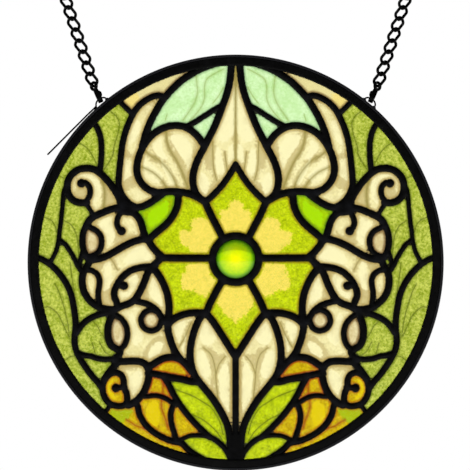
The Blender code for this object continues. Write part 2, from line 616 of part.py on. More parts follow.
def rim_point(angle, radius):
    """A point at degrees left of the panel's top."""
    a = math.radians(angle)
    return Vector((-radius * math.sin(a), 0.0, radius * math.cos(a)))


def make_leading(collection, cutters, material, parent):
    plan = Plan(lead_faces("through"))
    holes, panes = [], {}
    share = PANEL_RADIUS / 100
    for name, ((x, z), kind) in {**PANES, **AXIS_PANES}.items():
        outline = plan.outlines(plan.region_at(x * share, z * share))[0]
        hole = thin_ring(outline, OUTLINE_TOLERANCE)
        pane = inset(hole, CLEARANCE)
        if name in AXIS_PANES:
            holes.append(hole)
            panes["glass_" + name] = (pane, kind)
            continue
        for side, sign in (("left", 1), ("right", -1)):
            holes.append([Vector((sign * p.x, p.y)) for p in hole])
            panes[f"glass_{name}_{side}"] = ([Vector((sign * p.x, p.y)) for p in pane], kind)
    c = [v * share for v in JEWEL_CENTRE]
    holes.append(circle(c, JEWEL_RADIUS, JEWEL_STEPS))
    outer = circle((0, 0), LEADING_RADIUS, RIM_STEPS)
    base = flat_curve("leading", [outer, *holes], -LEAD_HALF_DEPTH, LEAD_HALF_DEPTH)
    collection.objects.link(base)
    base = as_mesh(base, collection)
    over_plan = Plan(lead_faces("overlay"))
    plates = []
    for number in sorted(set(over_plan.region)):
        first = over_plan.region.index(number)
        if over_plan.covered[first]:
            rings = [thin_ring(r, OUTLINE_TOLERANCE) for r in over_plan.outlines(number)
                if abs(ring_area(r)) > 0.2 * MM * MM]
            plate = flat_curve(f"overlay_{number}", rings, -LEAD_HALF_DEPTH + OVERLAY_STEP,
                -GLASS_THICKNESS / 2 - CLEARANCE)
            cutters.objects.link(plate)
            plates.append(as_mesh(plate, cutters))
    bpy.context.view_layer.update()
    overlays = joined("overlays", plates, cutters)
    overlays.parent = parent
    base.data.materials.clear()
    base.data.materials.append(material)
    base.parent = parent
    unite(base, overlays)
    return panes


def make_rim(collection, material, parent):
    """The channel: its section, turned round the panel's axis."""
    inside = LEAD_HALF_DEPTH + CLEARANCE
    outside = inside + RIM_WALL
    floor = PANEL_RADIUS - RIM_WALL
    section = [
        (RIM_LIP, -inside), (RIM_LIP, -outside), (PANEL_RADIUS - RIM_CHAMFER, -outside),
        (PANEL_RADIUS, -outside + RIM_CHAMFER), (PANEL_RADIUS, outside - RIM_CHAMFER),
        (PANEL_RADIUS - RIM_CHAMFER, outside), (RIM_LIP, outside), (RIM_LIP, inside),
        (floor, inside), (floor, -inside),
    ]
    mesh = bpy.data.meshes.new("rim")
    count = len(section)
    mesh.from_pydata([(r, 0.0, -y) for r, y in section],
        [(i, (i + 1) % count) for i in range(count)], [])
    ob = bpy.data.objects.new("rim", mesh)
    turn = ob.modifiers.new("turn", "SCREW")
    turn.axis = "Z"
    turn.steps = turn.render_steps = RIM_STEPS
    turn.use_merge_vertices = True
    turn.merge_threshold = 1e-6
    turn.use_normal_calculate = True
    ob.rotation_euler = (math.pi / 2, 0.0, 0.0)
    return place(ob, collection, material, parent)


def make_jewel(collection, material, parent):
    """A turned dome with a flat back."""
    radius = JEWEL_RADIUS - CLEARANCE
    half = GLASS_THICKNESS / 2
    steps = 3
    profile = [(0.0, -half), (radius, -half), (radius, half)]
    for i in range(1, steps + 1):
        a = math.pi / 2 * i / steps
        profile.append((radius * math.cos(a), half + JEWEL_RISE * math.sin(a)))
    profile[-1] = (0.0, half + JEWEL_RISE)
    mesh = bpy.data.meshes.new("glass_jewel")
    mesh.from_pydata([(r, 0.0, y) for r, y in profile],
        [(i, i + 1) for i in range(len(profile) - 1)], [])
    ob = bpy.data.objects.new("glass_jewel", mesh)
    turn = ob.modifiers.new("turn", "SCREW")
    turn.axis = "Z"
    turn.steps = turn.render_steps = JEWEL_STEPS
    turn.use_merge_vertices = True
    turn.merge_threshold = 1e-6
    turn.use_normal_calculate = True
    ob.rotation_euler = (math.pi / 2, 0.0, 0.0)
    c = [v * PANEL_RADIUS / 100 for v in JEWEL_CENTRE]
    ob.location = (c[0], 0.0, c[1])
    return place(ob, collection, material, parent)


def loop_points(side, with_tail):
    """A wire arch on the rim, its feet just clear of it. With a tail, the outer foot bends along
    the rim and leaves it in a straight line."""
    lift = CLEARANCE + LOOP_WIRE / 2
    top = LOOP_RISE - LOOP_WIRE / 2
    half = LOOP_SPAN / 2
    steps = 6
    first = [(half * math.cos(math.pi * i / steps),
        CLEARANCE + (top - CLEARANCE) * math.sin(math.pi * i / steps)) for i in range(steps + 1)]
    if with_tail:
        bend = half + LOOP_WIRE
        first = first[:-1] + [(-half - 0.15 * LOOP_WIRE, lift + 0.3 * LOOP_WIRE), (-bend, lift)]
    points = []
    for along, up in first:
        angle = LOOP_ANGLE - math.degrees(along / (PANEL_RADIUS + up))
        points.append(rim_point(angle, PANEL_RADIUS + up))
    if with_tail:
        a = math.radians(TAIL_ANGLE)
        start = rim_point(TAIL_ANGLE, PANEL_RADIUS + lift)
        away = Vector((-math.cos(a), 0.0, -math.sin(a)))
        points += [start, start + away * TAIL_LENGTH / 2, start + away * TAIL_LENGTH]
    return [Vector((side * p.x, p.y, p.z)) for p in points]


def lean(side, tilt):
    """The unit vector that leans outwards by tilt degrees."""
    a = math.radians(tilt)
    return Vector((-side * math.sin(a), 0.0, math.cos(a)))


def clasp_foot(side):
    """The lowest point of a clasp: its bar passes under the loop, clear of the loop and rim."""
    skew = math.radians(LOOP_ANGLE - CLASP_TILT)
    slack = CLEARANCE + CLASP_WIDTH / 2 * math.sin(skew) + 0.15 * MM
    up = LOOP_RISE - LOOP_WIRE - slack - CLASP_BAR
    p = rim_point(LOOP_ANGLE, PANEL_RADIUS + up)
    return Vector((side * p.x, 0.0, p.z))


def clasp_ring_centre(side):
    return clasp_foot(side) + lean(side, CLASP_TILT) * (
        CLASP_LENGTH + CLASP_RING_RADIUS - CLASP_RING_WIRE / 4)


def link_reach():
    """From a link's middle to the middle of the wire at its end."""
    return (LINK_PITCH + LINK_WIRE - LINK_BITE) / 2


def link_points(middle, side):
    """One curb link: a stadium whose ends are turned opposite ways about the chain's line."""
    up = lean(side, CHAIN_TILT)
    across = Vector((up.z, 0.0, -up.x))
    depth = Vector((0.0, -side, 0.0))
    reach = link_reach()
    end = (LINK_WIDTH - LINK_WIRE) / 2
    straight = reach - end
    flat = []
    for sign in (1, -1):
        for i in range(4):
            a = math.pi * i / 3
            flat.append((sign * (straight + end * math.sin(a)), sign * end * math.cos(a)))
    points = []
    for along, out in flat:
        a = math.radians(LINK_TWIST) * along / reach
        points.append(middle + up * along
            + (across * math.cos(a) + depth * math.sin(a)) * out)
    return points


def chain_end(side):
    """The middle of the wire at the top of the last link."""
    return clasp_ring_centre(side) + lean(side, CHAIN_TILT) * (
        LINK_PITCH * (CHAIN_LINKS - 1) + 2 * link_reach())


def ring_centre(side):
    """The top ring hangs in the last link, clear of it, in line with the chain."""
    drop = LINK_WIDTH / 2
    return chain_end(side) + lean(side, CHAIN_TILT) * (
        (RING_DIAMETER - RING_WIRE) / 2 - drop + LINK_WIRE / 2)


def hook_point(side):
    """Where the top ring rests on its hook: the far side of its hole, on the chain's line."""
    return ring_centre(side) + lean(side, CHAIN_TILT) * (RING_DIAMETER / 2 - RING_WIRE)


def hull_of_circles(low, low_radius, high, high_radius, steps):
    """The outline round two circles on the up axis, as one smooth drop."""
    lean_in = math.asin((low_radius - high_radius) / (high - low))
    ring = []
    for i in range(steps + 1):
        a = lean_in + (math.pi - 2 * lean_in) * i / steps
        ring.append(Vector((high_radius * math.cos(a), high + high_radius * math.sin(a))))
    for i in range(steps + 1):
        a = math.pi - lean_in + (math.pi + 2 * lean_in) * i / steps
        ring.append(Vector((low_radius * math.cos(a), low + low_radius * math.sin(a))))
    return ring


def make_clasp(side, name, collection, cutters, material, parent):
    """A lobster clasp seen on its edge: a drop-shaped hook with its hole, a lever's bulge on the
    side, and a small ring at the top for the chain."""
    low = CLASP_DEPTH / 2
    outline = hull_of_circles(low, low, CLASP_LENGTH - CLASP_NECK / 2, CLASP_NECK / 2, 5)
    hole_low = low - CLASP_BAR
    hole = hull_of_circles(low, hole_low, CLASP_BAR + CLASP_HOLE_LENGTH - hole_low / 2,
        hole_low / 2, 4)
    up = lean(side, CLASP_TILT)
    across = Vector((up.z, 0.0, -up.x))
    turn = Matrix((Vector((0.0, 1.0, 0.0)), up, across)).transposed().to_4x4()
    body = flat_curve(name, [outline, hole], -CLASP_WIDTH / 2, CLASP_WIDTH / 2)
    foot = clasp_foot(side)
    body.matrix_world = Matrix.Translation(foot) @ turn
    collection.objects.link(body)
    body = as_mesh(body, collection)
    bpy.ops.mesh.primitive_torus_add(major_radius=CLASP_RING_RADIUS,
        minor_radius=CLASP_RING_WIRE / 2, major_segments=8, minor_segments=4)
    ring = bpy.context.object
    a = math.radians(LINK_TWIST)
    chain_up = lean(side, CHAIN_TILT)
    chain_across = Vector((chain_up.z, 0.0, -chain_up.x))
    axis = chain_across * math.cos(a) - Vector((0.0, -side, 0.0)) * math.sin(a)
    ring.matrix_world = Matrix.Translation(clasp_ring_centre(side)) @ axis.to_track_quat(
        "Z", "Y").to_matrix().to_4x4()
    bpy.ops.mesh.primitive_uv_sphere_add(segments=6, ring_count=4, radius=1.0)
    lever = bpy.context.object
    at = foot + up * CLASP_LENGTH * 0.58 + across * side * CLASP_WIDTH / 2
    lever.matrix_world = (Matrix.Translation(at) @ turn
        @ Matrix.Diagonal((CLASP_DEPTH * 0.22, LEVER_LENGTH / 2, LEVER_BULGE, 1.0)))
    bpy.context.view_layer.update()
    for ob in (ring, lever):
        for owner in list(ob.users_collection):
            owner.objects.unlink(ob)
        cutters.objects.link(ob)
    extra = joined(name + "_extra", [ring, lever], cutters)
    extra.parent = parent
    body.data.materials.clear()
    body.data.materials.append(material)
    body.parent = parent
    unite(body, extra)
    return body


def make_chain(side, name, collection, cutters, material, parent):
    """The links, each fused to the next where it bears on it: the odd ones, with the even ones
    added to them."""
    first = clasp_ring_centre(side) + lean(side, CHAIN_TILT) * link_reach()
    halves = ([], [])
    for i in range(CHAIN_LINKS):
        middle = first + lean(side, CHAIN_TILT) * LINK_PITCH * i
        link = wire_curve(f"{name}_link_{i}", link_points(middle, side), LINK_WIRE, cyclic=True)
        cutters.objects.link(link)
        halves[i % 2].append(as_mesh(link, cutters))
    bpy.context.view_layer.update()
    odd = joined(name, halves[0], collection)
    even = joined(name + "_even", halves[1], cutters)
    even.parent = parent
    odd.data.materials.clear()
    odd.data.materials.append(material)
    odd.parent = parent
    unite(odd, even)
    return odd


def make_top_ring(side, name, collection, material, parent):
    bpy.ops.mesh.primitive_torus_add(major_radius=(RING_DIAMETER - RING_WIRE) / 2,
        minor_radius=RING_WIRE / 2, major_segments=14, minor_segments=5)
    ob = bpy.context.object
    ob.name = ob.data.name = name
    for owner in list(ob.users_collection):
        owner.objects.unlink(ob)
    up = lean(side, CHAIN_TILT)
    a = math.radians(RING_TURN)
    along = Vector((up.z * math.cos(a), side * math.sin(a), -up.x * math.cos(a)))
    ob.matrix_world = Matrix.Translation(ring_centre(side)) @ along.cross(up).to_track_quat(
        "Z", "Y").to_matrix().to_4x4()
    return place(ob, collection, material, parent)


def main():
    clear_scene()
    parts = new_collection("stained_glass_suncatcher")
    cutters = new_collection("cutters")
    black = new_material("black_rim_metal", (0.010, 0.010, 0.011), 0.35, 0.6)
    lead = new_material("black_patina_lead", (0.012, 0.012, 0.015), 0.45, 0.5)
    wire = new_material("blackened_wire", (0.008, 0.008, 0.009), 0.30, 0.8)
    glass = {kind: new_material(f"{kind}_glass", colour, rough, alpha=0.75)
        for kind, (colour, rough) in GLASS.items()}

    centre = bpy.data.objects.new("panel_centre", None)
    parts.objects.link(centre)

    panes = make_leading(parts, cutters, lead, centre)
    for name, (ring, kind) in panes.items():
        place(flat_curve(name, [ring], -GLASS_THICKNESS / 2, GLASS_THICKNESS / 2), parts,
            glass[kind], centre)
    make_jewel(parts, glass["jewel"], centre)
    make_rim(parts, black, centre)
    for side, word in ((1, "left"), (-1, "right")):
        points = loop_points(side, with_tail=side == 1)
        place(wire_curve(f"hanging_loop_{word}", points, LOOP_WIRE), parts, wire, centre)
        make_clasp(side, f"clasp_{word}", parts, cutters, wire, centre)
        make_chain(side, f"chain_{word}", parts, cutters, wire, centre)
        make_top_ring(side, f"top_ring_{word}", parts, wire, centre)
    centre.location = (0.0, 0.0, -hook_point(1).z)
    bpy.context.view_layer.update()


main()
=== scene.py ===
"""Stained glass suncatcher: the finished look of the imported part, piece by piece.

The panel's front faces -Y and up is +Z. The plan of the panel is worked in millimetres from the
middle of the panel, across and up, and placed in metres where the frame has it.
"""

import functools
import math

import bmesh
import bpy
import numpy as np
from mathutils import Matrix, Vector
from mathutils.geometry import delaunay_2d_cdt
from mathutils.kdtree import KDTree


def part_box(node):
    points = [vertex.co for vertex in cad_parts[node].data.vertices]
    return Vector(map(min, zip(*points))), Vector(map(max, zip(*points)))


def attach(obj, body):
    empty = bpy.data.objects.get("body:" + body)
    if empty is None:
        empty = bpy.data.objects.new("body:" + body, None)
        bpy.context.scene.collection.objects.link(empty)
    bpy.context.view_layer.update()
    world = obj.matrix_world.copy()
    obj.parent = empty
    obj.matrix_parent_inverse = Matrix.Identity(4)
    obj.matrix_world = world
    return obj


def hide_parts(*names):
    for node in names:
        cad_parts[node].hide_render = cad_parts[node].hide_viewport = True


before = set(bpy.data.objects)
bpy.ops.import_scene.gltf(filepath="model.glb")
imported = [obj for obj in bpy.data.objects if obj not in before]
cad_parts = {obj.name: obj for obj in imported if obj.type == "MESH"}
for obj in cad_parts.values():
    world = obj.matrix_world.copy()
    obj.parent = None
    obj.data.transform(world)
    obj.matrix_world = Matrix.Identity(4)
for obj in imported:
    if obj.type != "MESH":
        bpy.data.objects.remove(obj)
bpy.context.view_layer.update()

bl_info = {
    "name": "Stained glass suncatcher",
    "version": (1, 0, 0),
    "blender": (4, 5, 0),
    "location": "3D Viewport > Sidebar > Suncatcher",
    "description": "Dresses the leaded glass panel, its rim, chains, clasps and rings",
    "category": "Object",
}

MM = 0.001
RIM_BOX = [Vector(corner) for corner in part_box("rim")]
CENTRE = (RIM_BOX[0] + RIM_BOX[1]) / 2

# Sizes that the frame was built with, in metres
PANEL_RADIUS = (RIM_BOX[1].x - RIM_BOX[0].x) / 2
GLASS_THICKNESS = 3.0 * MM
CLEARANCE = 0.3 * MM
RIM_FACE = 5.3 * MM
RIM_HALF_DEPTH = (RIM_BOX[1].y - RIM_BOX[0].y) / 2
RIM_WALL = 0.8 * MM
LEAD_HALF_DEPTH = GLASS_THICKNESS / 2 + 0.8 * MM
JEWEL_RADIUS = 9.3 * MM
LOOP_ANGLE = 40.0
LOOP_SPAN = 6.1 * MM
LOOP_RISE = 2.9 * MM
LOOP_WIRE = 0.8 * MM
TAIL_ANGLE = 45.0
TAIL_LENGTH = 27.0 * MM
CLASP_TILT = 24.6
CLASP_LENGTH = 7.2 * MM
CLASP_DEPTH = 5.2 * MM
CLASP_NECK = 2.0 * MM
CLASP_WIDTH = 2.4 * MM
CLASP_BAR = 0.8 * MM
CLASP_HOLE_LENGTH = 4.6 * MM
CLASP_RING_RADIUS = 1.7 * MM
CLASP_RING_WIRE = 0.9 * MM
LEVER_BULGE = 1.1 * MM
CHAIN_TILT = 18.0
CHAIN_LINKS = 8
LINK_PITCH = 5.6 * MM
LINK_WIDTH = 5.4 * MM
LINK_WIRE = 1.3 * MM
LINK_BITE = 0.1 * MM
LINK_TWIST = 50.0
LINK_SLANT = 18.0
RING_DIAMETER = 12.0 * MM
RING_WIRE = 1.2 * MM
RING_TURN = 38.0

# Widths of the lead cames seen from the front, in mm
LEAD_MAIN = 3.3
LEAD_MID = 2.9
LEAD_LIGHT = 2.4
LEAD_FINE = 2.0
JEWEL_LEAD = 3.6
EDGE_LEAD = 3.0
BALL_RADIUS = 1.9
LEADING_RADIUS = 98.9

# How far the look departs from the frame's solids, in metres
LIP_ROLL = 0.4 * MM  # radius that the rim's lip is rolled to
BEAD = 0.75 * MM  # radius of the rim's outer edge
CLASP_SWELL = 0.1 * MM  # added to a clasp's half-width
CLASP_EDGE = 0.35 * MM  # rounding of a clasp's edges
CLASP_RING_SHARE = 0.85  # radius of a clasp ring's wire, as a share of the wire's width
LINK_SWELL = 0.07 * MM  # added to the radius of a link's wire
RING_TUCK = 0.12 * MM  # taken off a top ring's radius, to keep it in the solids' box
RING_BUTT = 0.08 * MM  # half the gap where a top ring's ends meet

# How finely round things are divided
RIM_STEPS = 240
JEWEL_STEPS = 72
LOOP_STEPS = 24
LINK_STEPS = 12  # at each end of a link
CLASP_RING_STEPS = 28
TOP_RING_STEPS = 60

# How the plan is drawn and meshed, in mm
LINE_STEP = 1.0
PANE_BITE = 0.25  # how far a pane's edge goes into the lead
NET_PITCH = 0.78  # between the points that fill the net
ROW_SHARE = 0.866  # of the pitch, from one row to the next
CELL = 0.42  # two filling points never share a square of this size
BORDER_ROOM = 0.3  # from a filling point to the nearest border
CAME_ROWS = (0, -0.45, 0.45, -0.8, 0.8)  # across a came, as shares of its half-width
PAINT_ROWS = (0, -0.45, 0.45)  # across a painted line
JEWEL_ROWS = (0.35, 0.9, 1.8, 2.7, 3.25)  # out from the jewel
EDGE_ROWS = (96.3, 97.4, 98.5)  # radii in the lead at the rim
MERGE = 1e-4  # points nearer than this are one
STROKE_SHADE = 1.5  # half-width of the shade round a stroke
AREA_BLUR = 1.6  # width of a painted area's soft border

# The stage: lengths in metres, the lens in mm
FLOOR_HALF = 2.0
FLOOR_DROP = 0.42  # below the hanging point
WORLD_AROUND = 0.8  # strength of the white world for all but the rays named below
WORLD_MIRRORED = 0.05  # its strength in reflections
CAMERA_PLACE = (-0.0003, -2.5, -0.12316)
CAMERA_LENS = 398.0

# The cartoon: the middle line of each lead of the left half, from knot to knot, in mm from the
# panel's centre (across, up). "through" leads part two panes. "overlay"
# leads lie on the face of a pane, as the curls, the eyes and the lighter divisions do.
LEADS = {
    "spoke_top": (LEAD_MAIN, "through", [(-5.8, 11.2), (-8.0, 15.5), (-9.8, 19.0), (-11.6, 22.4),
        (-13.2, 25.8), (-14.6, 29.3)]),
    "spoke_left": (LEAD_MAIN, "through", [(-11.2, 2.2), (-24.0, 2.2), (-35.6, 2.3)]),
    "spoke_low": (LEAD_MAIN, "through", [(-5.8, -7.6), (-8.1, -11.6), (-10.3, -15.6),
        (-12.4, -19.8), (-14.2, -24.3)]),
    "top_petal": (LEAD_MID, "through", [(-14.6, 29.3), (-11.6, 31.8), (-8.9, 34.5), (-6.2, 37.6),
        (-3.6, 41.2), (-1.4, 44.8), (0.0, 47.2)]),
    "spire": (LEAD_MAIN, "through", [(-1.9, 96.0), (-2.3, 91.8), (-2.7, 88.0), (-3.4, 84.2),
        (-4.5, 80.3), (-6.0, 76.2), (-8.2, 70.2), (-10.2, 65.4), (-12.8, 60.2), (-15.4, 55.0),
        (-17.9, 50.2), (-19.8, 45.2), (-20.6, 40.6), (-20.2, 36.4), (-18.6, 32.6),
        (-15.4, 29.6)]),
    "mint_divide": (LEAD_LIGHT, "overlay", [(-6.6, 75.4), (-9.8, 73.9), (-13.0, 71.8),
        (-16.0, 69.9), (-19.3, 67.8), (-22.3, 66.2), (-24.6, 65.0)]),
    "shell_brow": (LEAD_MAIN, "through", [(-15.2, 56.4), (-17.6, 60.0), (-20.5, 62.9),
        (-23.6, 64.9), (-26.8, 65.8), (-30.0, 65.9), (-33.2, 65.3), (-36.4, 64.0),
        (-39.4, 62.0), (-42.2, 59.2), (-44.6, 55.6), (-46.4, 51.4), (-47.4, 47.0),
        (-47.4, 43.4), (-46.3, 39.9), (-44.2, 37.0), (-41.4, 34.9), (-37.8, 33.8)]),
    "shell_foot": (LEAD_MAIN, "through", [(-14.6, 29.3), (-17.0, 30.6), (-20.0, 32.2),
        (-23.4, 33.4), (-27.0, 34.0), (-31.0, 34.2), (-35.0, 33.9), (-39.2, 33.6)]),
    "mint_edge": (LEAD_MAIN, "through", [(-9.0, 96.0), (-14.0, 94.3), (-17.8, 92.7),
        (-21.0, 90.9), (-24.0, 89.0), (-27.0, 86.7), (-30.0, 83.9), (-32.8, 80.9),
        (-35.3, 77.8), (-37.8, 73.8), (-40.2, 69.4), (-42.0, 65.4), (-43.4, 61.4),
        (-44.9, 55.8)]),
    "sliver_edge": (LEAD_MID, "through", [(-34.4, 79.4), (-37.0, 80.4), (-39.6, 79.9),
        (-42.2, 78.7), (-45.0, 76.8), (-47.4, 74.4), (-49.4, 71.4), (-51.0, 68.0),
        (-52.4, 64.6), (-53.6, 60.8), (-54.5, 56.6), (-55.1, 52.0), (-55.7, 46.4),
        (-56.2, 41.0), (-56.2, 37.2), (-55.2, 33.8), (-53.4, 30.8), (-51.0, 28.4),
        (-48.4, 26.9)]),
    "sliver_end": (LEAD_LIGHT, "through", [(-57.6, 79.6), (-54.2, 75.9), (-50.4, 72.2)]),
    "olive_divide": (LEAD_LIGHT, "overlay", [(-68.9, 68.0), (-67.2, 65.9), (-65.8, 63.0),
        (-64.8, 59.2), (-64.5, 54.0), (-64.7, 49.6), (-65.2, 44.6)]),
    "scroll_back": (LEAD_MAIN, "through", [(-54.8, 27.0), (-56.0, 31.0), (-58.0, 34.6),
        (-60.2, 37.8), (-62.6, 40.6), (-65.4, 43.2), (-68.6, 45.0), (-72.4, 45.4),
        (-75.8, 44.6), (-78.6, 42.6), (-80.4, 39.8), (-81.0, 36.6), (-80.6, 33.6),
        (-79.2, 31.0), (-77.0, 29.4), (-74.4, 28.8), (-71.6, 29.0)]),
    "scroll_curl": (LEAD_LIGHT, "overlay", [(-74.2, 38.2), (-72.3, 38.5), (-70.8, 37.2),
        (-70.0, 35.0), (-70.2, 32.4), (-71.4, 30.2), (-72.8, 28.8)]),
    "scroll_foot": (LEAD_FINE, "through", [(-71.8, 28.6), (-71.1, 27.2), (-69.8, 25.2),
        (-68.4, 23.0)]),
    "scroll_floor": (LEAD_MAIN, "through", [(-72.0, 17.4), (-70.4, 20.3), (-68.0, 22.2),
        (-65.0, 23.6), (-61.8, 25.0), (-58.6, 26.0), (-55.2, 26.6), (-51.8, 26.6),
        (-48.4, 26.5), (-45.2, 26.9), (-42.2, 28.2), (-39.2, 30.1), (-36.6, 32.0),
        (-34.6, 33.6)]),
    "pod_edge": (LEAD_MAIN, "through", [(-27.6, 33.6), (-27.7, 29.6), (-28.3, 26.6),
        (-29.4, 24.0), (-31.0, 21.3), (-33.2, 18.7), (-36.0, 16.2), (-38.8, 13.9),
        (-41.6, 11.4)]),
    "olive_fence": (LEAD_FINE, "through", [(-81.0, 37.4), (-82.4, 35.0), (-83.0, 31.0),
        (-83.3, 27.0), (-83.7, 23.0), (-84.1, 19.0), (-84.7, 15.0), (-85.0, 11.6),
        (-85.6, 8.4), (-86.5, 5.2), (-87.9, 2.4), (-89.0, 0.4)]),
    "flank_edge": (LEAD_MID, "through", [(-97.0, 2.9), (-93.6, 1.8), (-91.0, 0.4),
        (-88.4, -1.5), (-85.9, -3.9), (-83.6, -6.7), (-81.5, -9.9), (-79.9, -13.2),
        (-78.7, -16.8), (-78.0, -20.6), (-77.4, -24.4), (-77.0, -28.2), (-77.0, -32.0),
        (-77.4, -35.6), (-77.4, -39.0), (-76.7, -42.2), (-75.2, -45.4), (-73.4, -48.4),
        (-71.2, -51.6), (-68.9, -54.6), (-66.4, -57.4), (-64.6, -60.0)]),
    "olive_cross": (LEAD_FINE, "overlay", [(-84.8, 11.0), (-82.0, 8.8), (-80.2, 6.4),
        (-78.6, 3.8), (-77.2, 1.2), (-76.0, -1.4), (-74.8, -3.4)]),
    "olive_chip": (LEAD_FINE, "overlay", [(-73.4, 6.0), (-74.2, 3.0), (-74.9, 0.4),
        (-74.9, -2.4), (-73.8, -5.0)]),
    "upper_eye_left": (LEAD_MID, "through", [(-70.6, 20.0), (-72.4, 16.8), (-73.5, 13.4),
        (-73.7, 10.0), (-73.3, 6.8), (-72.3, 4.2), (-70.4, 2.2), (-68.0, 1.3)]),
    "upper_eye_right": (LEAD_LIGHT, "overlay", [(-71.6, 17.9), (-69.2, 16.6), (-66.6, 15.1),
        (-64.8, 12.6), (-64.4, 9.6), (-65.2, 6.4), (-67.0, 4.2), (-69.8, 3.0)]),
    "middle_ribbon": (LEAD_MAIN, "through", [(-71.6, 2.6), (-68.4, 1.5), (-64.6, 2.2),
        (-61.2, 3.6), (-58.0, 5.4), (-55.0, 7.2), (-52.0, 8.8), (-49.0, 10.1),
        (-46.0, 11.0), (-42.6, 11.3), (-41.0, 9.0), (-39.4, 6.8), (-37.4, 4.6),
        (-35.0, 2.6)]),
    "curl_crown": (LEAD_MAIN, "through", [(-55.6, 25.0), (-52.4, 24.4), (-49.4, 24.0),
        (-47.2, 22.2), (-45.6, 19.4), (-44.7, 16.4), (-43.9, 13.6), (-43.0, 11.0)]),
    "middle_curl": (LEAD_LIGHT, "overlay", [(-54.9, 15.2), (-56.5, 16.9), (-57.1, 19.2),
        (-56.6, 21.6), (-55.2, 24.4)]),
    "lower_eye_left": (LEAD_MAIN, "through", [(-70.0, 1.6), (-71.4, -1.8), (-73.2, -4.8),
        (-73.8, -8.0), (-73.6, -11.2), (-72.8, -14.2), (-71.0, -17.2), (-68.6, -19.6),
        (-65.6, -21.4), (-62.2, -22.4), (-58.8, -22.6)]),
    "lower_eye_right": (LEAD_LIGHT, "overlay", [(-71.6, -3.0), (-68.8, -4.0), (-66.6, -5.6),
        (-65.5, -8.2), (-65.6, -11.2), (-66.1, -14.4), (-66.0, -17.4), (-65.4, -20.6)]),
    "hook_back": (LEAD_MID, "overlay", [(-40.6, -1.8), (-43.6, -2.1), (-46.8, -2.6),
        (-50.0, -3.6), (-52.8, -5.4), (-55.2, -7.8), (-57.0, -10.6), (-58.2, -13.4),
        (-58.4, -16.2), (-57.4, -18.6), (-56.6, -21.0)]),
    "hook_curl": (LEAD_FINE, "overlay", [(-53.8, -11.1), (-55.4, -10.7), (-57.2, -11.6)]),
    "hook_front": (LEAD_MAIN, "through", [(-36.0, 2.2), (-38.4, -0.4), (-40.9, -2.6),
        (-42.6, -5.8), (-43.9, -9.2), (-45.4, -12.6), (-47.0, -15.6), (-49.0, -18.2),
        (-51.8, -19.9), (-55.0, -21.0), (-58.2, -22.6)]),
    "hook_sill": (LEAD_MID, "through", [(-49.0, -18.4), (-45.8, -19.0), (-42.6, -19.9),
        (-39.8, -21.4), (-37.5, -23.4), (-35.8, -26.0), (-33.6, -29.0)]),
    "flower_foot": (LEAD_MAIN, "through", [(-38.4, -0.4), (-39.1, -2.8), (-37.5, -5.3),
        (-35.7, -8.2), (-34.2, -11.4), (-33.0, -14.8), (-32.3, -18.2), (-32.0, -21.6),
        (-32.2, -25.2), (-32.6, -29.0), (-32.5, -32.4), (-31.7, -36.0), (-30.5, -39.6),
        (-29.0, -43.0), (-26.6, -46.4)]),
    "low_petal": (LEAD_MAIN, "through", [(-14.2, -24.3), (-17.6, -24.1), (-21.0, -24.2),
        (-24.4, -24.8), (-27.6, -25.9), (-30.4, -27.6), (-32.4, -29.6)]),
    "small_sepal": (LEAD_MAIN, "through", [(-15.2, -24.2), (-17.6, -27.4), (-19.3, -31.2),
        (-20.6, -35.2), (-21.5, -39.2), (-21.9, -43.2), (-21.7, -47.2), (-20.9, -51.0),
        (-19.4, -54.6), (-17.0, -58.0), (-14.2, -61.4), (-11.2, -65.2), (-8.4, -69.4),
        (-5.9, -73.8), (-4.0, -78.2), (-3.0, -82.4), (-2.6, -86.4), (-2.3, -90.6),
        (-2.1, -96.0)]),
    "bottom_petal": (LEAD_MAIN, "through", [(-14.2, -24.3), (-11.6, -27.4), (-9.2, -30.8),
        (-6.8, -34.6), (-4.4, -38.4), (-2.0, -42.2), (0.0, -45.4)]),
    "low_eye": (LEAD_LIGHT, "overlay", [(-35.6, -27.8), (-37.1, -31.3), (-40.6, -32.8),
        (-44.1, -31.3), (-45.6, -27.8), (-44.1, -24.3), (-40.6, -22.6), (-37.4, -23.8)]),
    "leaf_top": (LEAD_MID, "through", [(-57.6, -22.2), (-62.0, -24.0), (-65.8, -25.0),
        (-69.2, -26.4), (-72.2, -28.3), (-74.6, -30.8), (-76.6, -33.8)]),
    "oval_eye_left": (LEAD_MAIN, "through", [(-58.4, -22.4), (-60.0, -26.4), (-61.2, -30.0),
        (-61.5, -33.6), (-61.0, -37.2), (-59.6, -40.0), (-57.4, -41.4), (-55.6, -42.6),
        (-56.6, -45.2), (-58.4, -47.0)]),
    "oval_eye_right": (LEAD_LIGHT, "overlay", [(-57.4, -25.2), (-54.8, -27.2), (-52.8, -30.2),
        (-52.0, -33.8), (-52.5, -37.4), (-54.2, -40.6), (-56.4, -41.8)]),
    "leaf_foot": (LEAD_LIGHT, "overlay", [(-76.0, -43.4), (-72.6, -44.6), (-69.6, -45.0),
        (-66.6, -46.0), (-63.0, -46.5), (-59.6, -46.3), (-57.0, -45.2)]),
    "tear_brow": (LEAD_MAIN, "through", [(-63.2, -56.2), (-61.0, -53.0), (-58.6, -50.0),
        (-56.4, -47.9), (-52.4, -47.5), (-48.4, -47.4), (-45.2, -47.8), (-42.8, -49.6),
        (-41.7, -52.4), (-41.9, -55.6), (-42.8, -59.0), (-44.2, -62.2), (-46.2, -64.9),
        (-48.8, -67.2), (-51.6, -68.6)]),
    "cap_brow": (LEAD_MAIN, "through", [(-42.4, -50.6), (-40.2, -49.2), (-37.6, -47.5),
        (-34.8, -46.1), (-31.8, -45.5), (-28.8, -45.7), (-26.0, -47.0), (-23.6, -49.2),
        (-21.2, -52.2)]),
    "cap_foot": (LEAD_MID, "overlay", [(-42.2, -53.2), (-39.2, -53.5), (-36.0, -54.2),
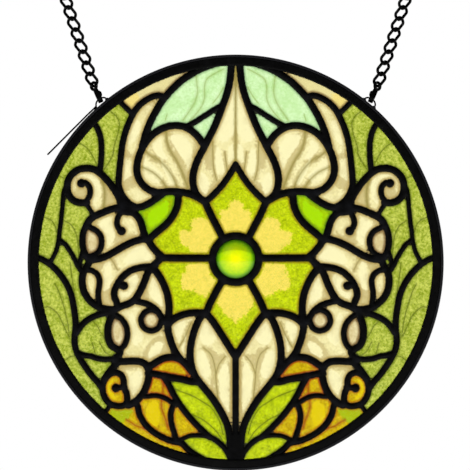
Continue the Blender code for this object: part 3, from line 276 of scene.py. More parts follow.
        (-33.0, -54.9)]),
    "lime_brow": (LEAD_MAIN, "through", [(-34.6, -54.5), (-31.2, -55.2), (-28.0, -55.7),
        (-24.8, -56.3), (-21.6, -57.2), (-17.6, -57.4)]),
    "lime_edge": (LEAD_MID, "through", [(-34.4, -54.8), (-32.4, -58.2), (-30.7, -61.6),
        (-29.0, -64.8), (-27.0, -68.0), (-24.8, -71.0), (-22.4, -74.0), (-19.8, -76.9),
        (-17.1, -79.7), (-14.2, -82.4), (-12.4, -83.9)]),
    "amber_brow": (LEAD_FINE, "overlay", [(-45.2, -64.2), (-42.4, -64.3), (-39.2, -63.9),
        (-36.0, -64.4), (-33.2, -65.6), (-30.4, -67.4), (-27.6, -68.4)]),
    "amber_divide": (LEAD_LIGHT, "overlay", [(-29.2, -66.4), (-30.5, -69.8), (-31.2, -73.0),
        (-31.0, -76.4), (-30.2, -79.8), (-29.1, -83.0), (-28.2, -86.2)]),
    "strip_edge": (LEAD_MID, "through", [(-48.0, -66.6), (-47.0, -69.6), (-46.4, -72.4),
        (-45.3, -75.0), (-43.6, -77.6), (-41.4, -79.9), (-38.4, -82.2), (-35.2, -84.0),
        (-32.0, -85.4), (-28.6, -86.3), (-25.8, -87.0), (-23.4, -89.4), (-20.6, -91.6),
        (-17.0, -93.8), (-13.0, -96.0)]),
    "leaf_crown": (LEAD_FINE, "through", [(-28.2, -86.3), (-25.4, -84.7), (-22.4, -83.4),
        (-19.2, -83.0), (-16.0, -83.2), (-12.6, -84.0)]),
    "leaf_divide": (LEAD_LIGHT, "overlay", [(-13.4, -83.4), (-10.2, -85.0), (-7.0, -87.4),
        (-4.6, -90.2), (-3.0, -93.2), (-2.2, -96.0)]),
    "bean_ring": (LEAD_MID, "through", [(-53.9, -60.2), (-53.8, -57.0), (-54.9, -54.2),
        (-57.4, -52.9), (-60.2, -53.6), (-62.6, -55.8), (-63.9, -59.0), (-63.8, -62.4),
        (-62.5, -65.6), (-60.2, -68.0), (-57.2, -68.9), (-54.2, -68.8), (-52.4, -67.2),
        (-52.2, -64.4), (-52.8, -62.0), (-53.9, -60.0)]),
    "bean_tongue": (LEAD_LIGHT, "overlay", [(-57.6, -60.3), (-55.6, -60.1), (-53.2, -60.0)]),
    "strip_end": (LEAD_FINE, "through", [(-64.4, -73.6), (-62.0, -71.0), (-59.8, -67.6)]),
    "stem": (LEAD_MID, "through", [(0.0, -44.0), (0.0, -60.0), (0.0, -78.0), (0.0, -97.0)]),
}
ON_AXIS = {"stem"}
BALLS = {"scroll_curl", "middle_curl", "hook_curl", "bean_tongue"}  # begin at a ball
JEWEL_CENTRE = (0.0, 1.7)

# Each pane: a point inside it, in mm, and its kind of glass
PANES = {
    "mint_leaf": ((-20.0, 79.0), "mint"),
    "top_sliver": ((-38.0, 84.4), "straw"),
    "crescent": ((-49.2, 61.0), "cream"),
    "shell": ((-33.0, 49.0), "cream"),
    "upper_scroll": ((-65.4, 35.0), "cream"),
    "pod": ((-38.5, 23.0), "green"),
    "upper_petal": ((-22.0, 15.0), "lime_honey"),
    "olive_shoulder": ((-74.0, 52.0), "olive"),
    "olive_middle": ((-78.5, 18.0), "olive"),
    "middle_scroll": ((-60.6, 12.0), "cream"),
    "lower_scroll": ((-61.5, -7.0), "cream"),
    "lower_petal": ((-22.0, -10.0), "lime_honey"),
    "olive_flank": ((-87.0, -22.0), "olive"),
    "fin": ((-39.0, -13.5), "cream"),
    "bottom_scroll": ((-46.0, -39.5), "cream"),
    "olive_leaf": ((-69.5, -36.5), "olive"),
    "small_sepal": ((-26.0, -32.0), "cream"),
    "large_sepal": ((-12.0, -47.0), "cream"),
    "teardrop": ((-48.4, -55.5), "cream"),
    "bean": ((-61.2, -60.0), "amber"),
    "amber_cluster": ((-39.5, -71.5), "amber"),
    "lime_leaf": ((-16.5, -70.5), "lime"),
    "border_strip": ((-45.5, -80.6), "amber"),
}
AXIS_PANES = {
    "spire": ((0.0, 60.0), "cream"),
    "top_petal": ((0.0, 27.0), "lime_honey"),
    "bottom_petal": ((0.0, -24.0), "lime_honey"),
}

# The parts of the panes that a lead on their face sets off in another glass: a point in each
INLAYS = {
    "upper_eye": ((-69.5, 9.5), "tan"),
    "oval_eye": ((-57.2, -34.0), "tan"),
    "low_eye": ((-40.6, -27.6), "tan"),
    "cap": ((-31.0, -50.5), "orange"),
    "amber_top": ((-38.0, -59.0), "orange"),
    "bottom_leaf": ((-17.0, -88.0), "lime"),
}

# What is fired on or drawn into each pane, on the left half, in mm: thin "vein" lines with their
# width, "stroke" lines with a soft band of shade round them, light "streak" areas, and "patch"
# areas of the glass's second tone
PAINT = {
    "mint_leaf": {"vein": [
        (0.50, [(-19, 89.5), (-18.5, 85), (-18.3, 82), (-19.5, 77.5), (-21.5, 74), (-25.5, 68.2)]),
        (0.45, [(-6, 93), (-10, 91), (-14, 88), (-15, 84), (-15, 79), (-16.5, 75), (-19, 71.5),
            (-22, 68.3)]),
        (0.38, [(-6, 84), (-8, 80.5), (-11, 76.5)]), (0.38, [(-33, 71), (-34, 68)])]},
    "top_sliver": {"patch": [[(-56, 76), (-52, 80), (-49.5, 82), (-46, 80), (-49.5, 73.5)]]},
    "shell": {"stroke": [
        (0.68, [(-33.5, 64), (-33, 58), (-31, 53), (-29, 50), (-26, 44), (-23, 36)]),
        (0.57, [(-39, 51), (-35, 47.5), (-31, 42.5), (-28, 36)]),
        (0.57, [(-45, 46), (-40, 43.5), (-36, 40), (-33, 35.8)]),
        (0.46, [(-44, 54), (-38, 49)])],
        "streak": [[(-31.5, 61), (-26, 61.5), (-22, 58), (-21, 52), (-22, 44), (-25.5, 50),
            (-28.5, 54)], [(-36, 59.5), (-35, 54), (-33, 50), (-36.5, 50.5), (-40, 56)],
            [(-44, 50), (-38, 45.5), (-34.5, 41.5), (-38, 38), (-43.5, 42)],
            [(-36, 49.5), (-31.5, 44.5), (-29, 38), (-31.5, 38), (-34, 43)]],
        "patch": [[(-36, 66), (-33.5, 59), (-30.5, 66)], [(-19, 60), (-21, 50), (-15, 54)],
            [(-32, 62), (-29.5, 62), (-26, 52), (-22.5, 42), (-22, 37), (-26, 44), (-30, 53)],
            [(-40, 55), (-37.5, 57), (-33.5, 49), (-30, 41), (-28.5, 37), (-31.5, 42),
                (-36, 48.5)]]},
    "spire": {"stroke": [
        (0.75, [(0, 94), (0, 80), (0, 66), (0, 47)]),
        (0.36, [(-11, 58), (-10.9, 51), (-10.6, 45.5), (-9, 39)]),
        (0.30, [(-5.2, 53), (-4.6, 48), (-3.8, 43)])],
        "streak": [[(-1.2, 88), (-1.2, 62), (-6, 58), (-10, 62), (-6, 72), (-3, 80)],
            [(-17.5, 40), (-16, 43.5), (-14, 42), (-13, 36), (-15, 32), (-17.5, 34)],
            [(-9.8, 53), (-8.6, 55.5), (-7.2, 54.5), (-6.2, 49), (-5.6, 43), (-8, 41.5),
                (-9.6, 46)], [(-3.4, 56), (-1.3, 57), (-1.3, 48), (-3, 47)]],
        "patch": [[(-14.5, 56), (-11, 58), (-10.6, 46), (-13.5, 44)],
            [(-8, 34), (-10, 40), (-13, 36), (-13, 31)]]},
    "crescent": {"patch": [[(-56, 54.5), (-48, 51.5), (-47, 49.5), (-56, 52)],
        [(-56, 37), (-48, 42), (-47, 38), (-55, 34)], [(-38, 80), (-44, 79), (-40, 76)]],
        "streak": [[(-50, 68), (-46, 68), (-49, 58), (-52, 56)],
            [(-53.5, 50), (-50.5, 49), (-50, 42), (-54, 40)]]},
    "upper_scroll": {"stroke": [(0.74, [(-64.5, 41), (-63, 34), (-63.5, 26)])],
        "streak": [[(-76, 42), (-70, 42.5), (-65.5, 39), (-66, 30), (-68.5, 28), (-68.5, 36),
            (-71, 40.5)]],
        "patch": [[(-63, 36), (-58, 33), (-57, 28.6), (-63.5, 26.5)],
            [(-76, 37), (-72, 37), (-72, 31), (-77, 31)]]},
    "middle_scroll": {"streak": [[(-66, 18), (-61, 22), (-59, 17), (-58, 12), (-62, 8), (-63, 14)]],
        "patch": [[(-58, 15), (-52, 13), (-48, 15), (-50, 11), (-58, 8)],
            [(-69, 18.5), (-66, 20), (-67, 16)], [(-57, 24), (-59, 21), (-60, 25)]]},
    "lower_scroll": {"stroke": [(0.30, [(-63, 4.5), (-59, 0.5), (-57, -3.5)])],
        "streak": [[(-61, 1), (-63.8, -6), (-65, -13), (-61.5, -13), (-59.5, -6)],
            [(-50, 6), (-44, 9), (-39, 2.5), (-45, -0.5), (-54, 0)],
            [(-55, -9), (-48, -5), (-46.5, -9), (-50, -15), (-55, -17)]],
        "patch": [[(-68, 0), (-63, 0), (-65, -4), (-69, -3)],
            [(-64.5, -13), (-59, -10), (-59, -19), (-65, -20)],
            [(-50, -6), (-53.5, -8), (-47, -3.5), (-43, -4), (-44, -8)]]},
    "fin": {"streak": [[(-40, -7.5), (-38, -10), (-35.5, -20.5), (-41, -16)]],
        "patch": [[(-47, -18), (-42, -18.5), (-42.5, -12), (-45, -13)]]},
    "bottom_scroll": {"streak": [
        [(-34.3, -38.2), (-37.5, -38.2), (-41, -41.5), (-42.3, -45), (-40.5, -46), (-36.5, -43)],
        [(-50, -24), (-46.5, -32), (-44, -36), (-48.5, -40), (-50.5, -36), (-52, -27)]],
        "patch": [[(-31, -38), (-34, -35), (-38, -35.5), (-42.5, -39.5), (-44.5, -43), (-45.5, -48),
            (-36, -48), (-31, -44)], [(-46, -48), (-56, -47), (-54, -44)]]},
    "small_sepal": {"stroke": [(0.36, [(-21.5, -29), (-24.5, -36), (-27.4, -41)])],
        "streak": [[(-28.5, -29), (-24, -28), (-26, -35), (-27, -38.5), (-29.5, -33)],
            [(-24, -34.5), (-23.4, -44), (-26, -41.5), (-25, -38)]]},
    "large_sepal": {"stroke": [
        (0.34, [(-15.5, -41), (-12, -44), (-10, -50), (-9.5, -56), (-8.5, -66)]),
        (0.30, [(-5, -45), (-8, -49), (-9.5, -54)])],
        "streak": [[(-15.5, -30), (-17.5, -36), (-15, -39.5), (-11, -38.5), (-9, -34), (-12, -29)],
            [(-18.5, -43), (-15.8, -42.5), (-13, -47), (-12.4, -54), (-15.5, -56)],
            [(-7.5, -52), (-4.5, -48), (-3, -60), (-4, -74), (-7.2, -66), (-8, -59)]],
        "patch": [[(-12.5, -40.5), (-8.5, -44), (-5, -44), (-9, -50), (-10.2, -58), (-9.3, -67),
            (-11.8, -62), (-12, -52), (-14, -43)],
            [(-19, -55), (-14.5, -60), (-9, -67.5), (-5.5, -77), (-9, -71), (-13.5, -65)],
            [(-1, -46), (-3, -47), (-3.2, -80), (-1, -80)]]},
    "teardrop": {"streak": [[(-46, -51.5), (-44.8, -56), (-50, -64), (-52, -57)]],
        "patch": [[(-58, -52), (-46, -50.5), (-44, -48), (-56, -48)]]},
    "olive_shoulder": {"vein": [
        (0.43, [(-60, 72.5), (-57.5, 70.5), (-56, 67.5), (-56.2, 64), (-57.3, 59.5), (-58.5, 56),
            (-59, 52), (-60.5, 49), (-63.5, 44.3)]),
        (0.38, [(-75, 57.5), (-72, 55.5), (-69.5, 52.5), (-66, 45.5)]),
        (0.38, [(-86, 42.5), (-82.5, 40.5)]),
        (0.38, [(-92.5, 22), (-89, 20.5), (-87, 18), (-86, 14)])]},
    "olive_middle": {"vein": [
        (0.38, [(-82, 20), (-79, 18), (-77, 14.5), (-76, 10), (-75.5, 2)]),
        (0.38, [(-79.5, 0), (-79, -5), (-78.3, -10), (-77.5, -14)])]},
    "olive_flank": {"vein": [
        (0.40, [(-92, -21.5), (-90, -21.3), (-87.5, -22.8), (-85, -25.5), (-83.3, -29),
            (-81.5, -33), (-80, -36)]),
        (0.40, [(-86.8, -10.5), (-85, -14), (-83.5, -18.5), (-82, -23.5), (-80.7, -29.5),
            (-80, -35)]),
        (0.40, [(-83, -48), (-80, -45.5), (-77, -44.8)])]},
    "olive_leaf": {"vein": [
        (0.40, [(-69, -28), (-66.5, -30.5), (-65, -33.5), (-62.5, -37)]),
        (0.35, [(-69, -38.5), (-67.5, -44)]),
        (0.38, [(-65.3, -38.5), (-62.5, -43.3), (-59.5, -44.8)])]},
    "upper_petal": {"patch": [[(-21.5, 20), (-15.5, 21.5), (-11, 18), (-9, 12), (-11.5, 8),
        (-13, 5), (-22, 5.5), (-23, 8), (-26, 9), (-26.5, 15), (-21.5, 16)]]},
    "lower_petal": {"patch": [[(-24, -1.5), (-13.5, -0.5), (-12, -6), (-9.5, -9), (-14, -16.5),
        (-17, -15.5), (-20, -13.5), (-25.5, -13), (-25.5, -5), (-24, -5)]]},
    "top_petal": {"patch": [[(-12, 14), (-9.5, 20.5), (-7.5, 21), (-7, 24.5), (-4, 25.5),
        (-3, 29), (0, 30), (1, 30), (1, 13)]]},
    "bottom_petal": {"patch": [[(-6, -9), (-8.5, -14), (-8.5, -21), (-6.5, -22.5), (-5, -25.5),
        (-2.5, -26.5), (0, -29.5), (1, -29.5), (1, -8)]]},
    "pod": {"streak": [[(-33, 30), (-37, 27), (-42, 23.5), (-41, 17), (-35, 21), (-32, 26)]]},
    "bean": {"streak": [[(-59, -56), (-62, -58), (-62, -63), (-57, -66), (-59, -62)]]},
    "amber_cluster": {"vein": [
        (0.65, [(-34.8, -55), (-35, -63.5)]),
        (0.58, [(-35.5, -65.5), (-35.8, -69), (-35, -72), (-33.5, -76), (-32.5, -80)])],
        "streak": [[(-42, -68), (-37.5, -67), (-36.5, -74), (-38, -79), (-43, -75)]]},
    "lime_leaf": {"vein": [
        (0.36, [(-30, -60.5), (-25, -62.5), (-20, -64.5), (-15, -67.5), (-12, -69.5), (-9.5, -73),
            (-7.5, -77), (-6, -83)]),
        (0.36, [(-21, -73), (-16, -75.5), (-12, -78.5), (-9, -81.5), (-6, -86)])]},
    "border_strip": {"vein": [
        (0.52, [(-52.5, -75.7), (-50, -77), (-48, -78.5), (-43, -80)])],
        "patch": [[(-48.5, -67.5), (-54.5, -77.5), (-64, -73), (-60, -67)]]},
}


def linear(code):
    """A colour's sRGB hex code as linear red, green, blue and alpha."""
    parts = [int(code[i:i + 2], 16) / 255 for i in (0, 2, 4)]
    return (*(v / 12.92 if v <= 0.04045 else ((v + 0.055) / 1.055) ** 2.4 for v in parts), 1.0)


def length(name, default, note):
    """A length that a user may set, given in millimetres."""
    return bpy.props.FloatProperty(name=name, description=note, default=default * MM, min=0.0,
        unit="LENGTH", precision=5)


def tone(name, code, note):
    """A colour that a user may set, given as its sRGB hex code."""
    return bpy.props.FloatVectorProperty(name=name, description=note, default=linear(code),
        size=4, min=0.0, max=1.0, subtype="COLOR")


class SuncatcherSizes(bpy.types.PropertyGroup):
    lead_crown: length("Lead crown", 0.78, "How far the middle of a came stands off the glass")
    lead_foot: length("Lead foot", 0.14, "How far a came's edge stands off the glass")
    lead_shoulder: length("Lead shoulder", 1.35, "Width over which a came rises to its crown")
    solder_rise: length("Solder rise", 0.12, "Extra height of the solder at each joint")
    glass_wave: length("Glass wave", 0.05, "Unevenness of the hand-rolled panes")
    jewel_rise: length("Jewel rise", 3.2, "Height of the jewel's dome above the glass")
    rim_bead: length("Rim bead", 0.35, "Depth of the groove that sets off the rim's outer bead")
    key_width: length("Key light width", 1200.0, "Side of the large soft light in front")


class SuncatcherColours(bpy.types.PropertyGroup):
    cream_light: tone("Cream light", "F8F1B8", "Light body of the cream opalescent glass")
    cream_deep: tone("Cream deep", "E2D796", "Deeper clouds in the cream glass")
    cream_shade: tone("Cream shade", "AA9250", "Tan shading fired on beside the leads")
    cream_line: tone("Cream line", "8E8238", "Olive-brown strokes painted on the cream glass")
    cream_streak: tone("Cream streak", "F4EDB6", "Whitest streaks of the cream glass")
    straw: tone("Straw", "F2D970", "Honey-coloured end of the straw glass")
    tan_light: tone("Tan light", "EBE1B0", "Middle of the small tan eyes")
    tan_deep: tone("Tan deep", "C6B073", "Clouds in the tan eyes")
    tan_shade: tone("Tan shade", "7C6034", "Brown edge of the small eyes")
    olive_light: tone("Olive light", "D0D861", "Light grains of the olive background")
    olive_deep: tone("Olive deep", "7F940E", "Deep grains of the olive background")
    olive_line: tone("Olive line", "5A680A", "Painted veins on the olive glass")
    mint_light: tone("Mint light", "D9F7C0", "Body of the mint glass")
    mint_deep: tone("Mint deep", "B9E396", "Clouds in the mint glass")
    mint_shade: tone("Mint shade", "8CAE7C", "Grey-green edges of the mint glass")
    lime_light: tone("Lime light", "D3E50D", "Body of the lime glass")
    lime_deep: tone("Lime deep", "96A801", "Clouds in the lime glass")
    honey: tone("Honey", "FAE262", "Honey-yellow areas of the petals")
    petal_edge: tone("Petal edge", "8E7C08", "Orange shading at the edges of the petals")
    amber_light: tone("Amber light", "DEC604", "Body of the amber glass")
    amber_deep: tone("Amber deep", "B19102", "Clouds in the amber glass")
    strip_green: tone("Strip green", "A6BE10", "Green end of the amber border strips")
    rust: tone("Rust", "9A360A", "Red-brown lines and edges in the amber glass")
    pod_green: tone("Pod green", "A6DA00", "Middle of the green pods")
    pod_edge: tone("Pod edge", "648C0A", "Edge of the green pods")
    jewel_yellow: tone("Jewel yellow", "F8FA00", "Bright middle of the jewel")
    jewel_green: tone("Jewel green", "70C802", "Edge of the jewel")
    patina: tone("Black patina", "040405", "Patina on the lead and solder")
    # Painted highlight: this blue-grey sheen is laid into the black of the leads at their solder
    # joints and in random patches, and in random patches on the wire
    solder: tone("Solder sheen", "17181E", "Thin blue-grey sheen of the patina on solder")
    rim_black: tone("Rim black", "040404", "Black of the rim channel")
    # Painted highlight: grey lines of reflected light on the shoulders of the rim's bead, and faint
    # random patches
    rim_highlight: tone("Rim worn", "303034", "Rubbed edge of the rim's bead")
    wire_black: tone("Wire black", "040404", "Black of the chains, clasps and wire")
    floor: tone("Floor", "F4F4F2", "Plain pale studio floor")
    backlight: bpy.props.FloatProperty(name="Backlight", description="Strength of the white "
        "light behind the glass", default=1.2, min=0.0)


def smooth_line(knots, step):
    """Points about step apart on the centripetal Catmull-Rom curve through the knots."""
    p = [Vector(k) for k in knots]
    p = [2 * p[0] - p[1], *p, 2 * p[-1] - p[-2]]
    out = [p[1].copy()]
    for a, b, c, d in zip(p, p[1:], p[2:], p[3:]):
        t = [0.0]
        for q, r in ((a, b), (b, c), (c, d)):
            t.append(t[-1] + max((r - q).length, 1e-9) ** 0.5)
        count = max(1, math.ceil((c - b).length / step))
        for i in range(1, count + 1):
            s = t[1] + (t[2] - t[1]) * i / count
            ab = a.lerp(b, (s - t[0]) / (t[1] - t[0]))
            bc = b.lerp(c, (s - t[1]) / (t[2] - t[1]))
            cd = c.lerp(d, (s - t[2]) / (t[3] - t[2]))
            abc = ab.lerp(bc, (s - t[0]) / (t[2] - t[0]))
            bcd = bc.lerp(cd, (s - t[1]) / (t[3] - t[1]))
            out.append(abc.lerp(bcd, (s - t[1]) / (t[2] - t[1])))
    return out


def circle(centre, radius, count, start=0.0):
    turn = 2 * math.pi / count
    return [Vector((centre[0] + radius * math.cos(start + turn * i),
        centre[1] + radius * math.sin(start + turn * i))) for i in range(count)]


def is_convex(ring):
    return min((b - a).cross(c - b)
        for a, b, c in zip(ring, ring[1:] + ring[:1], ring[2:] + ring[:2])) > 0


def ribbon(line, half):
    """The faces of a band of a half-width along a line; discs fill its sharpest turns."""
    sides = []
    for i, p in enumerate(line):
        along = line[min(i + 1, len(line) - 1)] - line[max(i - 1, 0)]
        side = Vector((-along.y, along.x)).normalized() * half
        sides.append((p - side, p + side))
    faces = []
    for p, q, (p_right, p_left), (q_right, q_left) in zip(line, line[1:], sides, sides[1:]):
        quad = [p_right, q_right, q_left, p_left]
        if not is_convex(quad):
            side = Vector((p.y - q.y, q.x - p.x)).normalized() * half
            quad = [p - side, q - side, q + side, p + side]
            faces += [circle(p, half, 18, 0.2), circle(q, half, 18, 0.2)]
        faces.append(quad)
    return faces


def band(outer, inner):
    n = len(outer)
    return [[inner[i], outer[i], outer[(i + 1) % n], inner[(i + 1) % n]] for i in range(n)]


def came_lines(step):
    """Each came of the whole panel: its name, width, layer and middle line."""
    for name, (width, layer, knots) in LEADS.items():
        for side in (1,) if name in ON_AXIS else (1, -1):
            yield name, width, layer, smooth_line([(side * x, z) for x, z in knots], step)


def lead_faces(layer):
    """Every face of the cartoon that is lead in this layer, each anticlockwise."""
    faces = []
    for name, width, its_layer, line in came_lines(LINE_STEP):
        if its_layer == layer:
            faces += ribbon(line, width / 2)
            faces += [circle(end, width / 2, 14, 0.2) for end in (line[0], line[-1])]
            if name in BALLS:
                faces.append(circle(line[0], BALL_RADIUS, 22, 0.1))
    if layer == "through":
        faces += band(circle(JEWEL_CENTRE, JEWEL_RADIUS / MM + JEWEL_LEAD, JEWEL_STEPS),
            circle(JEWEL_CENTRE, JEWEL_RADIUS / MM, JEWEL_STEPS))
        faces += band(circle((0, 0), LEADING_RADIUS, RIM_STEPS),
            circle((0, 0), LEADING_RADIUS - EDGE_LEAD, RIM_STEPS))
    return [f if sum(a.cross(b) for a, b in zip(f, f[1:] + f[:1])) > 0 else f[::-1] for f in faces]


def shared_edges(triangles):
    """Each edge with the triangle on its left and the one on its right, -1 where there is none."""
    edges = np.concatenate([triangles[:, [0, 1]], triangles[:, [1, 2]], triangles[:, [2, 0]]])
    owner = np.tile(np.arange(len(triangles)), 3)
    low, high = edges.min(axis=1), edges.max(axis=1)
    order = np.lexsort((high, low))
    twin = (low[order][1:] == low[order][:-1]) & (high[order][1:] == high[order][:-1])
    first, second = order[:-1][twin], order[1:][twin]
    lone = np.setdiff1d(np.arange(len(edges)), np.concatenate([first, second]))
    return (np.concatenate([edges[first], edges[lone]]),
        np.concatenate([owner[first], owner[lone]]),
        np.concatenate([owner[second], np.full(len(lone), -1)]))


def joined_sets(count, pairs):
    """A number for each of count things, the same for those that the pairs join."""
    root = list(range(count))

    def top(i):
        while root[i] != i:
            root[i] = root[root[i]]
            i = root[i]
        return i

    for a, b in pairs:
        a, b = top(a), top(b)
        if a != b:
            root[a] = b
    return np.array([top(i) for i in range(count)])


def tree_of(points):
    tree = KDTree(len(points))
    for i, (x, y) in enumerate(points):
        tree.insert((x, y, 0.0), i)
    tree.balance()
    return tree


def beads(points, edges, step):
    """Points strung along the edges, no more than step apart."""
    out = []
    for a, b in edges:
        p, q = points[a], points[b]
        count = max(1, math.ceil(math.hypot(*(q - p)) / step))
        out += [p + (q - p) * i / count for i in range(count)]
    return out


def pane_places():
    """Each pane's name, its seed and its kind of glass, left and right."""
    for name, (spot, kind) in PANES.items():
        for side, ending in ((1, "left"), (-1, "right")):
            yield name, f"{name}_{ending}", (side * spot[0], spot[1]), kind
    for name, (spot, kind) in AXIS_PANES.items():
        yield name, name, spot, kind


class Plan:
    """The panel's plan as one net of triangles. kind is 0 on bare glass, 1 under a lead that
    lies on the glass and 2 where lead goes through. area numbers the parts that any lead sets
    off, and pane those that only a lead that goes through does."""

    def __init__(self):
        through, overlay = lead_faces("through"), lead_faces("overlay")
        loose, rings = [], []
        for face in through + overlay:
            rings.append(list(range(len(loose), len(loose) + len(face))))
            loose += face
        out = delaunay_2d_cdt(loose, [], rings, 0, MERGE)
        points = np.array([tuple(p) for p in out[0]])
        triangles = np.array(out[2])
        kind = np.array([0 if not f else 2 if min(f) < len(through) else 1 for f in out[5]])
        edges, left, right = shared_edges(triangles)
        kinds = np.stack([kind[left], np.where(right < 0, 0, kind[right])], axis=1)
        changes = kinds[:, 0] != kinds[:, 1]
        edges, kinds = edges[changes], kinds[changes]

        used, edges = np.unique(edges, return_inverse=True)
        edges = edges.reshape(-1, 2)
        border = points[used]
        guard = tree_of(beads(border, edges, 0.25))
        inside = self.filling(guard)
        out = delaunay_2d_cdt([Vector(p) for p in border] + inside,
            [tuple(e) for e in edges], [], 0, MERGE)
        self.points = np.array([tuple(p) for p in out[0]])
        self.triangles = np.array(out[2])
        place = {}
        for i, sources in enumerate(out[3]):
            for s in sources:
                place[s] = i
        known = {}
        for (a, b), (k_left, k_right) in zip(edges.tolist(), kinds.tolist()):
            a, b = place[a], place[b]
            known[a, b] = (k_left, k_right)
            known[b, a] = (k_right, k_left)

        edges, left, right = shared_edges(self.triangles)
        sides = [known.get((a, b)) for a, b in edges.tolist()]
        free = [(l, r) for l, r, s in zip(left.tolist(), right.tolist(), sides)
            if r >= 0 and s is None]
        self.area = joined_sets(len(self.triangles), free)
        kind_of = {}
        for l, s in zip(left.tolist(), sides):
            if s is not None:
                kind_of[self.area[l]] = s[0]
        for r, s in zip(right.tolist(), sides):
            if s is not None and r >= 0:
                kind_of[self.area[r]] = s[1]
        self.kind = np.array([kind_of.get(a, 0) for a in self.area.tolist()])
        open_pairs = [(l, r) for l, r in zip(left.tolist(), right.tolist())
            if r >= 0 and (self.kind[l] == 2) == (self.kind[r] == 2)]
        self.pane = joined_sets(len(self.triangles), open_pairs)
        # A chink between cames that is no pane's is filled with solder
        spots = [JEWEL_CENTRE] + [spot for _, _, spot, _ in pane_places()]
        kept = {self.pane[self.triangle_at(*spot)] for spot in spots}
        self.kind[~np.isin(self.pane, list(kept))] = 2
        self.borders = [(a, b, self.kind[l], 0 if r < 0 else self.kind[r], l, r)
            for (a, b), l, r in zip(edges.tolist(), left.tolist(), right.tolist())
            if (0 if r < 0 else self.kind[r]) != self.kind[l]]
        to_glass = [(a, b) for a, b, k, m, _, _ in self.borders if 0 in (k, m)]
        to_pane = [(a, b) for a, b, k, m, _, _ in self.borders if 2 in (k, m)]
        self.edge_gap = self.gap_to(to_glass)
        self.through_gap = self.gap_to(to_pane)

    def filling(self, guard):
        """Points to fill the net: rows along the cames and the painted lines, and an even spread
        over the panes, which keeps one cell away from all that came before."""
        wanted = []
        for _, width, _, line in came_lines(LINE_STEP):
            for p, q in zip(line, line[1:]):
                side = Vector((p.y - q.y, q.x - p.x)).normalized() * width / 2
                wanted += [(p + side * s, False) for s in CAME_ROWS]
        for marks in PAINT.values():
            for _, knots in marks.get("vein", []) + marks.get("stroke", []):
                for sign in (1, -1):
                    line = smooth_line([(sign * x, z) for x, z in knots], 0.7)
                    for p, q in zip(line, line[1:]):
                        side = Vector((p.y - q.y, q.x - p.x)).normalized()
                        wanted += [(p + side * s, False) for s in PAINT_ROWS]
        for add in JEWEL_ROWS:
            ring = circle(JEWEL_CENTRE, JEWEL_RADIUS / MM + add, JEWEL_STEPS)
            wanted += [(p, False) for p in ring]
        for radius in EDGE_ROWS:
            wanted += [(p, False) for p in circle((0, 0), radius, RIM_STEPS)]
        rows = int(LEADING_RADIUS / (NET_PITCH * ROW_SHARE))
        for j in range(-rows, rows + 1):
            for i in range(-rows, rows + 1):
                p = Vector(((i + 0.5 * (j % 2)) * NET_PITCH, j * NET_PITCH * ROW_SHARE))
                if p.length < LEADING_RADIUS - 0.5:
                    wanted.append((p, True))
        kept, cells = [], set()
        for p, spread in wanted:
            cell = (round(p.x / CELL), round(p.y / CELL))
            near = any((cell[0] + i, cell[1] + j) in cells for i in (-1, 0, 1) for j in (-1, 0, 1))
            taken = near if spread else cell in cells
            if taken or guard.find((p.x, p.y, 0.0))[2] < BORDER_ROOM:
                continue
            cells.add(cell)
            kept.append(p)
        return kept

    def gap_to(self, edges):
        """For each point of the net, how far the nearest of these edges is."""
        tree = tree_of(beads(self.points, edges, 0.2))
        return np.array([tree.find((x, y, 0.0))[2] for x, y in self.points])

    def triangle_at(self, x, z):
        a, b, c = (self.points[self.triangles[:, k]] for k in range(3))
        turns = [(q[:, 0] - p[:, 0]) * (z - p[:, 1]) - (q[:, 1] - p[:, 1]) * (x - p[:, 0])
            for p, q in ((a, b), (b, c), (c, a))]
        found = np.nonzero((turns[0] >= 0) & (turns[1] >= 0) & (turns[2] >= 0))[0]
        if not len(found):
            raise RuntimeError(f"no triangle of the plan at {x}, {z}")
        return found[0]


@functools.cache
def panel_plan():
    return Plan()


def place(points, depth):
    """Points of the plan, at a depth in mm behind the panel's middle plane, in the frame."""
    points = np.asarray(points)
    out = np.empty((len(points), 3))
    out[:, 0] = points[:, 0] * MM
    out[:, 1] = np.asarray(depth) * MM
    out[:, 2] = points[:, 1] * MM + CENTRE.z
    return out


def ripple(points, size, seed):
    """Soft unevenness between -1 and 1: crossing waves of about a size in mm."""
    rng = np.random.default_rng(seed)
    total = np.zeros(len(points))
    for _ in range(7):
        angle, phase = rng.uniform(0, math.tau, 2)
        reach = math.tau / (size * rng.uniform(0.7, 1.6))
        total += np.sin((points[:, 0] * math.cos(angle) + points[:, 1] * math.sin(angle)) * reach
            + phase)
    return total / 4


def gap_to_line(points, line):
    """How far each point is from a line drawn through other points."""
    best = np.full(len(points), 1e6)
    for a, b in zip(line, line[1:]):
        a, b = np.array(a), np.array(b)
        run = b - a
        t = np.clip(((points - a) @ run) / max(run @ run, 1e-12), 0, 1)
        best = np.minimum(best, np.linalg.norm(points - a - t[:, None] * run, axis=1))
    return best


def in_outline(points, outline, blur):
    """1 inside a smooth closed outline, 0 outside, with a soft border."""
    ring = smooth_line([*outline[-2:], *outline, *outline[:2]], 1.5)
    first = min(range(len(ring)), key=lambda i: (ring[i] - Vector(outline[0])).length)
    last = max(range(first + 1, len(ring)), key=lambda i: -(ring[i] - Vector(outline[0])).length)
    ring = [tuple(p) for p in ring[first:last + 1]]
    gap = gap_to_line(points, ring)
    inside = np.zeros(len(points), bool)
    for (ax, ay), (bx, by) in zip(ring, ring[1:] + ring[:1]):
        if ay == by:
            continue
        crosses = (ay > points[:, 1]) != (by > points[:, 1])
        at = ax + (points[:, 1] - ay) * (bx - ax) / (by - ay)
        inside ^= crosses & (points[:, 0] < at)
    return np.clip(0.5 + np.where(inside, gap, -gap) / blur, 0, 1)


